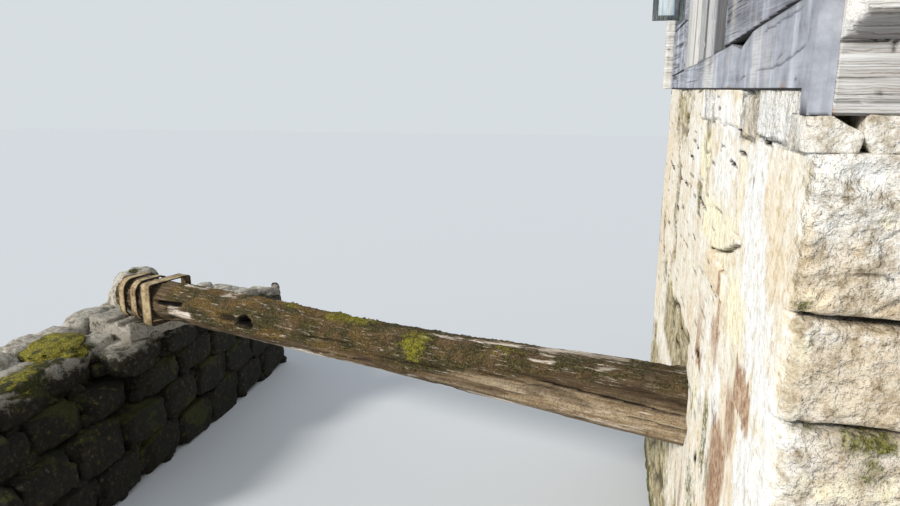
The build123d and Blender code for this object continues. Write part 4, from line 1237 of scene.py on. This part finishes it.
# Windows
# Small casements in a plain frame set in the timbers, in old dark grey paint that is worn at its
# edges. The far one over the race stands open. The panes are old glass, pale with dirt, and the
# sky's reflection is painted into their colour.

window_paint, paint_tree, paint_shader = new_finish("worn_window_paint", 0.6)
paint_age = cloud(place_in(paint_tree, (0.02, 0.02, 0.2)), 1.0, 6, 0.65)
paint_colour = shades(paint_age, (0.36, 58, 64, 66), (0.52, 88, 95, 97), (0.64, 132, 133, 128))
dress(paint_shader, paint_colour, [(paint_age, 0.002)])
for piece in ("race_window_frame", "race_window_open_sash", "race_window_shut_sash", "land_window_frame",
              "land_window_sashes"):
    eased(piece, window_paint, 0.003)

window_glass, glass_tree, glass_shader = new_finish("old_window_glass", 0.12)
glass_streak = cloud(place_in(glass_tree, (0.03, 0.03, 0.6)), 1.0, 4, 0.5)
# Pale dirt in streaks, with a painted reflection of the sky.
glass_colour = shades(glass_streak, (0.38, 170, 200, 216), (0.52, 204, 224, 234), (0.64, 240, 246, 248))
dress(glass_shader, glass_colour, [(glass_streak, 0.001)])
feed(glass_shader, {"Transmission Weight": 0.30, "Specular IOR Level": 0.5})
for piece in ("race_window_glass", "land_window_glass"):
    eased(piece, window_glass, 0.0006)

# Wheel shaft
# One hewn log, sawn square where it enters the wall. It has rotted for years, so it is rounder and
# ragged over the race, split along the grain, grown over with low moss, and holed at an old knot.

# Stations along the shaft: metres out from the wall's face, width, height and worn edge.
shaft_stations = ((-1.15, 0.44, 0.44, 0.045), (0, 0.44, 0.44, 0.05), (1.45, 0.40, 0.40, 0.07),
                  (2.90, 0.375, 0.375, 0.10), (4.30, 0.41, 0.405, 0.12), (6.18, 0.42, 0.41, 0.13))
shaft_entry_y = 2.404
shaft_skew = radians(17.8)
shaft_facets, end_rings = 124, 4
shaft_ring_spacing, shaft_stub_spacing = 0.0125, 0.12
shaft_out = Vector((-cos(shaft_skew), sin(shaft_skew), 0))
shaft_front = Vector((-sin(shaft_skew), -cos(shaft_skew), 0))
shaft_entry = Vector((face_x, front_y + shaft_entry_y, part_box("shaft_log")[0].z))
# Splits on the front face: their two ends, each a place along the shaft and a height over its
# underside, then half their width and their depth.
shaft_splits = (
    (-0.05, 0.235, 1.20, 0.290, 0.007, 0.050), (0.25, 0.262, 0.72, 0.262, 0.006, 0.030),
    (-0.05, 0.130, 0.42, 0.155, 0.006, 0.035), (0.9, 0.22, 1.7, 0.25, 0.005, 0.025),
    (1.9, 0.20, 2.7, 0.17, 0.006, 0.03), (2.9, 0.24, 3.6, 0.22, 0.006, 0.03),
    (5.10, 0.265, 5.52, 0.245, 0.022, 0.09),
)
# The knot hole and the broken place beside it: how far out, height, half length, half height, depth.
shaft_knot = (4.21, 0.222, 0.100, 0.082, 0.15)
shaft_broken = (4.44, 0.240, 0.160, 0.050, 0.032)
# Bright moss and bare wood: places along the shaft, then from and to how far up its side, where
# -1 is the underside, 0 the front and 1 the top, and soft ends along and up.
bright_moss = ((2.12, 2.38, 0.10, 0.95, 0.10, 0.35, 0.80), (2.80, 3.30, 0.75, 1.8, 0.16, 0.3, 0.84),
               (3.7, 3.95, 0.9, 1.5, 0.14, 0.25, 0.55), (1.3, 1.6, 0.6, 1.0, 0.12, 0.15, 0.5))
bare_wood = ((0.50, 1.25, 1.05, 1.45, 0.14, 0.22, 0.80), (1.30, 1.75, 1.0, 1.25, 0.12, 0.12, 0.72),
             (0.99, 1.20, 0.56, 0.70, 0.05, 0.08, 0.85), (0.98, 1.14, 0.78, 0.88, 0.05, 0.05, 0.7),
             (0.52, 0.66, 0.62, 0.80, 0.05, 0.08, 0.85), (1.90, 2.15, 0.92, 1.1, 0.08, 0.08, 0.7),
             (0.10, 0.30, 0.95, 1.1, 0.08, 0.08, 0.6),
             (4.98, 5.32, -0.30, 0.05, 0.05, 0.12, 0.95), (4.95, 5.25, 0.9, 1.3, 0.06, 0.15, 0.75),
             (4.45, 4.7, 0.85, 1.2, 0.08, 0.15, 0.62), (2.6, 4.2, -0.78, -0.62, 0.3, 0.05, 0.75),
             (0.2, 1.0, -0.55, -0.3, 0.2, 0.1, 0.45), (1.2, 2.4, -0.62, -0.5, 0.2, 0.05, 0.6))
moss_line_at_wall, moss_line_over_race = 0.62, -0.45


def shaft_size(place):
    """The width, height and worn edge of the shaft at a place between two stations."""
    for (a, *low), (b, *high) in zip(shaft_stations, shaft_stations[1:]):
        if place <= b:
            share = (place - a) / (b - a)
            return [p + share * (q - p) for p, q in zip(low, high)]
    return high


def shaft_surface(place, angle, height_up):
    """How far the shaft's surface stands out at a place and an angle from its front, and its masks."""
    around = angle * 0.21
    up = sin(angle)
    side = angle / (pi / 2)
    rot = smooth(0.9, 3.0, place)
    wander = 0.03 * swell(place * 0.9, around * 3, 2)
    ribs = rugged(place * 1.3, (around + wander) * 30, 1, 4, 0.8, 2.2)
    broad = rugged(place * 1.1, around * 4, 6, 3, 1.0, 2.0)
    line = abs(swell(place * 0.8, (around + wander) * 12, 3))
    there = smooth(-0.1, 0.3, swell(place * 1.1, around * 4, 12))
    check = there * (1 - smooth(0.01, 0.08, line))
    lost = smooth(0.12, 0.4, rugged(place * 1.6, around * 11, 4, 3, 0.9, 2.2))
    ends = 1 - smooth(5.30, 5.42, place)
    out = 0.005 * ribs * (1 + rot) - 0.012 * check - 0.022 * lost * (0.35 + 0.65 * rot) * ends
    out += 0.012 * broad * (0.3 + 0.7 * rot) * ends

    hole = 0.0
    if abs(side) < 0.9:
        for p0, h0, p1, h1, half, deep in shaft_splits:
            if p0 - 0.05 < place < p1 + 0.05:
                share = (place - p0) / (p1 - p0)
                height = h0 + share * (h1 - h0) + 0.006 * swell(place * 9, h0 * 9, 5)
                taper = smooth(-0.04, 0.12, share) * (1 - smooth(0.8, 1.04, share))
                hole = max(hole, deep * taper * (1 - smooth(0.5, 1.5, abs(height_up - height) / half)))
        for middle, height, half_along, half_up, deep in (shaft_knot, shaft_broken):
            r = hypot((place - middle) / half_along, (height_up - height) / half_up)
            r += 0.2 * swell(place * 14, height_up * 14, 2)
            hole = max(hole, deep * (1 - smooth(0.5, 1.1, r)))
    out -= hole

    line_up = moss_line_at_wall + (moss_line_over_race - moss_line_at_wall) * smooth(1.0, 2.4, place)
    patchy = rugged(place * 2.2, around * 7, 8)
    moss = smooth(line_up - 0.18, line_up + 0.22, up + 0.42 * patchy) * ends
    bright = amount_of("at", place, side, {"at": bright_moss})
    bare = amount_of("at", place, side, {"at": bare_wood}) * (1 - bright)
    moss = max(moss * (1 - bare), bright)
    tuft = abs(rugged(place * 24, around * 24, 3, 3, 0.8, 2.1))
    cushion = 0.5 + 0.5 * swell(place * 7, around * 9, 14)
    out += moss * (0.004 + 0.014 * tuft + 0.012 * cushion) + bright * (0.008 + 0.018 * tuft + 0.012 * cushion)
    out += 0.026 * smooth(0.6, 0.9, up) * (1 - smooth(0.5, 2.0, place))
    masks = {
        "moss": moss * (1 - 0.6 * smooth(0.01, 0.04, hole)),
        "bright": bright,
        "pale": bare * smooth(-0.5, 0.2, ribs + 0.3),
        "tan": (1 - smooth(1.0, 2.4, place)) * smooth(0.75, 0.15, abs(up + 0.30)) * (1 - 0.8 * moss),
        "rusty": smooth(2.0, 3.4, place) * smooth(-0.1, 0.3, swell(place * 3, around * 7, 15)),
        # Painted shade in the splits, checks, knot hole and broken place; darker also in the hollows of lost
        # wood and up the front near the wall.
        "dark": max(smooth(0.01, 0.04, hole), 0.75 * check * (1 - moss), 0.4 * lost * (1 - moss),
                    0.45 * smooth(0.15, 0.6, up) * (1 - smooth(0.2, 2.0, place)) * (1 - moss)),
    }
    return out, masks


log = bmesh.new()
shaft_start, shaft_end = shaft_stations[0][0], shaft_stations[-1][0]
bmesh.ops.create_cone(log, cap_ends=True, cap_tris=False, segments=shaft_facets, radius1=1, radius2=1,
                      depth=shaft_end - shaft_start,
                      matrix=Matrix.Translation((0, 0, (shaft_start + shaft_end) / 2)))
for ring in range(end_rings):
    bmesh.ops.inset_region(log, faces=[f for f in log.faces if len(f.verts) == shaft_facets],
                           thickness=1 / (end_rings + 1), use_even_offset=False)
log.normal_update()
shaft_sides = [face for face in log.faces if abs(face.normal.z) < 0.5]
stub_rings = steps(shaft_start, 0, shaft_stub_spacing) + [0.0]
cut_across(log, shaft_sides, along_z, stub_rings + steps(0, shaft_end, shaft_ring_spacing))
shaft_layers = mask_layers(log, ("moss", "bright", "pale", "tan", "rusty", "dark"))
for vert in log.verts:
    place, inner, angle = vert.co.z, hypot(vert.co.x, vert.co.y), atan2(vert.co.y, vert.co.x)
    width, height, worn = shaft_size(place)
    c, s = cos(angle), sin(angle)
    square = min(width / 2 / max(abs(c), 0.001), height / 2 / max(abs(s), 0.001),
                 (width / 2 + height / 2 - worn) / (abs(c) + abs(s)))
    oval = 1 / hypot(c / (width / 2), s / (height / 2))
    roundness = 0.6 * smooth(1.2, 4.2, place)
    reach = square + (oval - square) * roundness
    if inner > 0.99:
        out, masks = shaft_surface(max(place, -0.05), angle, height / 2 + reach * s)
        reach += out if place > -0.06 else 0
    else:
        masks = {"dark": 0.35 + 0.3 * swell(inner * 20, 0, 0)}
        place += 0.02 * swell(vert.co.x * 4, vert.co.y * 4, 3) * (1 if place > 0 else 0)
    vert.co = (shaft_entry + shaft_out * place + shaft_front * (reach * inner * c)
               + Vector((0, 0, height / 2 + reach * inner * s)))
    paint(vert, shaft_layers, masks)


def shaft_finish():
    """Rotted wood, tan near the wall, under low moss that is dark, rusty or bright."""
    material, tree, shader = new_finish("rotted_shaft_wood", 0.9)
    turn = (0, 0, pi - shaft_skew)
    grain = cloud(place_in(tree, (0.9, 0.035, 0.035), turn), 1.0, 8, 0.62, 0.3)
    fibre = cloud(place_in(tree, (0.3, 0.008, 0.008), turn), 1.0, 4, 0.6)
    blotch = cloud(place_in(tree), 5.0, 8, 0.72)
    clump = cloud(place_in(tree), 22, 8, 0.78)
    speck = cloud(place_in(tree), 75, 6, 0.76)
    shred = cloud(place_in(tree, (0.20, 0.022, 0.022), turn), 1.0, 8, 0.74)
    colour = shades(grain, (0.32, 60, 49, 36), (0.48, 98, 81, 60), (0.66, 140, 120, 92))
    tan_wood = shades(grain, (0.34, 124, 103, 78), (0.5, 164, 142, 112), (0.66, 196, 178, 150))
    colour = blend(painted(tree, "tan"), colour, tan_wood)
    crumbled = times(ramp(clump, 0.52, 0.38), 0.45)
    colour = blend(crumbled, colour, (96, 72, 44))
    colour = blend(times(ramp(speck, 0.52, 0.38), 0.6), colour, (50, 39, 28))
    moss = shades(speck, (0.36, 27, 26, 15), (0.48, 58, 53, 31), (0.62, 106, 96, 60))
    moss = blend(ramp(blotch, 0.46, 0.60), moss, shades(speck, (0.36, 42, 35, 24), (0.60, 122, 98, 68)))
    moss = blend(times(ramp(clump, 0.50, 0.36), 0.7), moss, (36, 34, 20))
    moss = blend(times(painted(tree, "rusty"), 0.75), moss,
                 shades(speck, (0.36, 54, 42, 23), (0.48, 96, 75, 41), (0.62, 142, 117, 70)))
    colour = blend(ragged("moss", clump, 2.6), colour, moss)
    colour = blend(ragged("bright", clump, 3.2), colour,
                   shades(speck, (0.36, 50, 50, 16), (0.48, 103, 99, 30), (0.62, 164, 156, 60)))
    colour = blend(ragged("pale", shred, 4.0), colour,
                   shades(fibre, (0.36, 160, 140, 118), (0.56, 238, 226, 208)))
    # The mesh's dark mask is painted shade in splits, checks and holes, with darker wood in places.
    colour = blend(painted(tree, "dark"), colour, (22, 17, 12))
    dress(shader, colour, [(grain, 0.012), (fibre, 0.003), (clump, 0.016), (speck, 0.007)])
    return material


stand(log, "shaft_log_rotted", shaft_finish(), ["shaft_log"], sharp=0)

# Hoops and strap
# Two flat iron hoops that held the shaft's end, and a squarer strap that has come loose and hangs
# wide of it. The iron is rusted, and dried mud and old paint make its faces tan.


def iron_finish():
    """Rusted iron with tan patches."""
    material, tree, shader = new_finish("rusted_hoop_iron", 0.75)
    shader.inputs["Metallic"].default_value = 0.15
    patches = cloud(place_in(tree), 11, 6, 0.65)
    speck = cloud(place_in(tree), 90, 5, 0.7)
    colour = shades(patches, (0.36, 100, 80, 56), (0.46, 152, 131, 98), (0.58, 190, 172, 134))
    colour = blend(times(ramp(speck, 0.52, 0.38), 0.5), colour, (96, 70, 46))
    colour = blend(painted(tree, "dark"), colour, (30, 22, 16))
    dress(shader, colour, [(patches, 0.004), (speck, 0.002)])
    return material


hoop_iron = iron_finish()
for hoop_name in ("hoop_inner", "hoop_outer", "loose_strap"):
    hoop = from_node(hoop_name)
    bmesh.ops.subdivide_edges(hoop, edges=[e for e in hoop.edges if e.calc_length() > 0.06], cuts=5,
                              use_grid_fill=True)
    roughen(hoop, 0.07, 0.0025)
    tint(hoop, dark=lambda v: 0.9 * (abs(v.normal.dot(shaft_out)) > 0.6))
    stand(hoop, hoop_name + "_rusted", hoop_iron, [hoop_name], sharp=30)

# Far bank
# A wall of field stones laid dry against the bank, wet at its face and darker there with painted
# shade, where moss grows in the joints, and dry and pale on top. A flat stone there carries the
# shaft, with a boulder behind.

bank_low, bank_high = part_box("bank_wall")
bank_top = bank_high.z
bank_batter = 0.08
bank_slump_depth, bank_slump_height, bank_slump_end = 0.38, 0.9, front_y + 3.55
bank_drop_start, bank_drop = front_y + 5.20, 0.38


def bank_face(y, z):
    """Where the face of the bank wall stands at a place along the race and a height."""
    upright = bank_high.x - bank_batter * z / bank_top
    slump_low = bank_top - bank_slump_height
    slumped = bank_high.x - (bank_batter + bank_slump_depth) * (z - slump_low) / bank_slump_height
    share = 1 - smooth(bank_slump_end - 0.35, bank_slump_end + 0.15, y)
    return upright + share * min(0.0, slumped - upright)


def bank_height(y):
    """The height of the bank wall's top along the race."""
    return bank_top - bank_drop * max(0.0, (y - bank_drop_start) / (bank_high.y - bank_drop_start))


def field_stone(bm, middle, half, turn, seed, square=0.6, knock=0.16, detail=3):
    """One stone: a ball squared off, knocked out of shape and turned."""
    offset = Vector((seed * 3.7, seed * 1.3, seed * 2.1))
    for vert in bmesh.ops.create_icosphere(bm, subdivisions=detail, radius=1)["verts"]:
        outward = vert.co.normalized()
        shape = Vector([(1 if part > 0 else -1) * abs(part) ** square for part in outward])
        lump = 1 + knock * noise.fractal(outward * 1.4 + offset, 0.9, 2.1, 4)
        lump += 0.03 * noise.fractal(outward * 6 + offset, 0.8, 2.1, 3)
        vert.co = middle + turn @ Vector([part * reach * lump for part, reach in zip(shape, half)])


def askew(amount):
    """A small turn about any axis."""
    return Matrix.Rotation(rng.uniform(-amount, amount), 3, "X") @ Matrix.Rotation(
        rng.uniform(-amount, amount), 3, "Y") @ Matrix.Rotation(rng.uniform(-amount, amount), 3, "Z")


def lay_face(bm, low, high, top_at, place_at, lengths, heights, depth, along_axis):
    """Lays one face of the wall in rough courses, each stone bedded in the core."""
    z = 0.0
    seed = low * 7
    while z < bank_top:
        tall = rng.uniform(*heights)
        at = low - rng.uniform(0, lengths[0])
        while at < high:
            long = rng.uniform(*lengths)
            tall_here = tall * rng.uniform(0.85, 1.12)
            middle = at + long / 2
            seed += 1
            if low < middle < high and z + tall / 2 < top_at(middle):
                half = [0, 0, tall_here * 0.56]
                half[along_axis] = long * 0.54
                half[1 - along_axis] = depth * rng.uniform(0.9, 1.15)
                centre = place_at(middle, z + tall / 2)
                field_stone(bm, centre, half, askew(0.07), seed)
            at += long
        z += tall


# The core lies back behind the stones that show.
core_depth = 0.12
core = from_node("bank_wall")
core.normal_update()
for vert in core.verts:
    vert.co -= Vector((vert.normal.x, vert.normal.y, max(0, vert.normal.z))) * core_depth
bank_stones = bmesh.new()
stone_depth = 0.15
# The beds of the large stones over the race from the bottom up, the first upright joint of each
# course from the front, and the length of a stone.
bank_beds, bank_first_joints = (0.0, 0.43, 0.83, 1.17), (0.42, 0.19, 0.54, 0.30)
large_stone, large_stone_least, large_stone_depth = 0.68, 0.25, 0.24
# Small pins fill the joints: the first of each stone lies in its bed, the others at its end.
pins_per_stone, pin_reach = 3, 0.07
for course, (bed, joint) in enumerate(zip(bank_beds, bank_first_joints)):
    next_bed = (bank_beds[1:] + (bank_top,))[course]
    joints = [bank_low.y, bank_low.y + joint]
    while joints[-1] + large_stone < bank_high.y - large_stone_least:
        joints.append(joints[-1] + large_stone)
    joints.append(bank_high.y)
    for start, end in zip(joints, joints[1:]):
        middle_y = (start + end) / 2
        top = min(next_bed, bank_height(middle_y))
        middle = Vector((0, middle_y, (bed + top) / 2 + rng.uniform(-0.015, 0.015)))
        middle.x = bank_face(middle_y, middle.z) - 0.82 * large_stone_depth + rng.uniform(-0.03, 0.03)
        half = (large_stone_depth, (end - start) * 0.53, (top - bed) * rng.uniform(0.52, 0.58))
        field_stone(bank_stones, middle, half, askew(0.07), course * 20 + start * 3, 0.55, 0.17, 4)
        for pin_number in range(pins_per_stone):
            pin_y = end + rng.uniform(-0.10, 0.10) if pin_number else rng.uniform(start, end)
            pin_z = rng.uniform(bed, top) if pin_number else bed
            pin = Vector((bank_face(pin_y, pin_z) - pin_reach * 1.1, pin_y, pin_z))
            reach = rng.uniform(0.6, 1.3) * pin_reach
            field_stone(bank_stones, pin, (pin_reach, reach * 1.3, reach), askew(0.4),
                        700 + end * 9 + pin_number, 0.7, 0.2, 2)
lay_face(bank_stones, bank_low.y, bank_high.y, bank_height,
         lambda y, z: Vector((bank_low.x + stone_depth, y, z)),
         (0.36, 0.7), (0.2, 0.34), stone_depth, along_y)
for end_y, inset in ((bank_low.y, stone_depth), (bank_high.y, -stone_depth)):
    lay_face(bank_stones, bank_low.x + 0.15, bank_high.x - 0.3, lambda x, y=end_y: bank_height(y),
             lambda x, z, y=end_y + inset: Vector((x, y, z)),
             (0.22, 0.45), (0.15, 0.28), stone_depth, along_x)
bearing_low, bearing_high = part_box("bearing_stone")
boulder_low, boulder_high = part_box("end_boulder")


def taken(x, y):
    """Whether the bearing stone or the boulder already stands on the bank here."""
    return any(low.x - 0.1 < x < high.x + 0.1 and low.y - 0.1 < y < high.y + 0.1
               for low, high in ((bearing_low, bearing_high), (boulder_low, boulder_high)))


# Smaller stones lie in rows along the top.
top_rows, top_row_start, top_row_spacing, top_row_end = 5, 0.16, 0.26, 0.15
top_stone_rise, cushion_rise = 0.18, 0.25
for row in range(top_rows):
    y = bank_low.y + rng.uniform(0.1, 0.3)
    while y < bank_high.y - top_row_end:
        long = rng.uniform(0.24, 0.6)
        x = bank_low.x + top_row_start + top_row_spacing * row + rng.uniform(-0.05, 0.05)
        tall = rng.uniform(0.07, 0.13)
        if x < bank_face(y, bank_top) - 0.02 and not taken(x, y + long / 2):
            field_stone(bank_stones, Vector((x, y + long / 2, bank_height(y + long / 2) - 0.02)),
                        (0.15, long * 0.53, tall), askew(0.12), 300 + row * 40 + y * 9)
        y += long
keep_in(bank_stones, bank_low, Vector((bank_high.x, bank_high.y, bank_top + top_stone_rise)))


def paint_bank(bm):
    """Damp and painted shade at the face, and moss on what looks up. The dark layer is made here and left at
    0.
    """
    bm.normal_update()
    layers = mask_layers(bm, ("moss", "bright", "damp", "dark"))
    for vert in bm.verts:
        patchy = rugged(*(vert.co * 2.3))
        looks_up = vert.normal.z
        inland = smooth(0.1, 0.35, bank_face(vert.co.y, vert.co.z) - vert.co.x)
        high = smooth(-0.12, 0.04, vert.co.z - bank_height(vert.co.y))
        grown = smooth(0.30, 0.8, looks_up * 0.6 + patchy * 0.9)
        fresh = 0.6 * smooth(0.25, 0.6, patchy) * smooth(0.5, 0.9, looks_up)
        paint(vert, layers, {"damp": 1 - high * (0.5 + 0.5 * inland),
                             "moss": grown * (1 - 0.75 * high * inland),
                             "bright": fresh * high * (1 - 0.9 * inland)})


paint_bank(core)
paint_bank(bank_stones)


def dry_stone_finish():
    """Stone that is dry, or damp and darkened by painted shade, as the mesh says, with two mosses."""
    material, tree, shader = new_finish("dark_dry_stone", 0.85)
    flat = place_in(tree)
    broad = cloud(flat, 3.0, 6, 0.6)
    medium = cloud(flat, 14, 6, 0.65)
    speck = cloud(flat, 75, 5, 0.7)
    dry = shades(medium, (0.36, 126, 118, 104), (0.48, 170, 162, 148), (0.60, 206, 200, 186))
    # Damp stone, painted darker still for the shade at the face.
    damp = shades(medium, (0.34, 15, 14, 9), (0.5, 29, 27, 18), (0.66, 52, 47, 33))
    colour = blend(ragged("damp", medium, 2.0), dry, damp)
    colour = blend(times(ramp(speck, 0.52, 0.38), 0.5), colour, (24, 22, 15))
    colour = blend(ragged("moss", medium, 2.2), colour,
                   shades(speck, (0.36, 24, 26, 10), (0.62, 62, 62, 26)))
    colour = blend(ragged("bright", medium, 2.4), colour,
                   shades(speck, (0.36, 62, 50, 20), (0.48, 108, 101, 34), (0.62, 160, 152, 68)))
    # Painted shade on the core where it shows between the stones.
    colour = blend(painted(tree, "dark"), colour, (18, 16, 11))
    dress(shader, colour, [(broad, 0.02), (medium, 0.014), (speck, 0.004)])
    return material


dry_stone = dry_stone_finish()
# The core shows only in the gaps between the stones, so it is painted dark as their shade.
tint(core, dark=0.8)
stand(core, "bank_core", dry_stone, ["bank_wall"], sharp=0)
stand(bank_stones, "bank_stones", dry_stone, sharp=0)

# Moss cushions on the edge of the bank: their middles over the wall, and their half sizes.
cushions = ((-6.10, 3.30, 0.05, 0.30, 0.31, 0.13), (-6.55, 3.28, 0.05, 0.17, 0.22, 0.08),
            (-6.08, 2.55, -0.01, 0.10, 0.15, 0.05))
moss_cushions = bmesh.new()
for seed, (x, y, over, half_x, half_y, half_z) in enumerate(cushions):
    field_stone(moss_cushions, Vector((face_x + x, front_y + y, bank_top + over)), (half_x, half_y, half_z),
                askew(0.05), 900 + seed, 0.8, 0.22, 5)
keep_in(moss_cushions, bank_low, Vector((bank_high.x, bank_high.y, bank_top + cushion_rise)))
roughen(moss_cushions, 0.02, 0.006)
tint(moss_cushions, moss=1.0, damp=0.4,
     bright=lambda v: smooth(-0.3, 0.5, v.normal.z) * (0.85 + 0.7 * noise.noise(v.co * 9)))
stand(moss_cushions, "moss_cushions", dry_stone, sharp=0)

bearing = from_node("bearing_stone")
ease(bearing, 0.02)
cut_all(bearing, (0.03, 0.03, 0.03))
roughen(bearing, 0.16, 0.018, 0.004)
paint_bank(bearing)
tint(bearing, damp=0.35)
stand(bearing, "bearing_stone_worn", dry_stone, ["bearing_stone"], sharp=0)

boulder = from_node("end_boulder")
ease(boulder, 0.09, 4)
cut_all(boulder, (0.035, 0.035, 0.035))
roughen(boulder, 0.3, 0.05, 0.006, 0.03)
tint(boulder, damp=0.0, moss=lambda v: 0.7 * smooth(0.2, 0.5, noise.fractal(v.co * 5, 0.9, 2.1, 4)))
stand(boulder, "end_boulder_worn", dry_stone, ["end_boulder"], sharp=0)
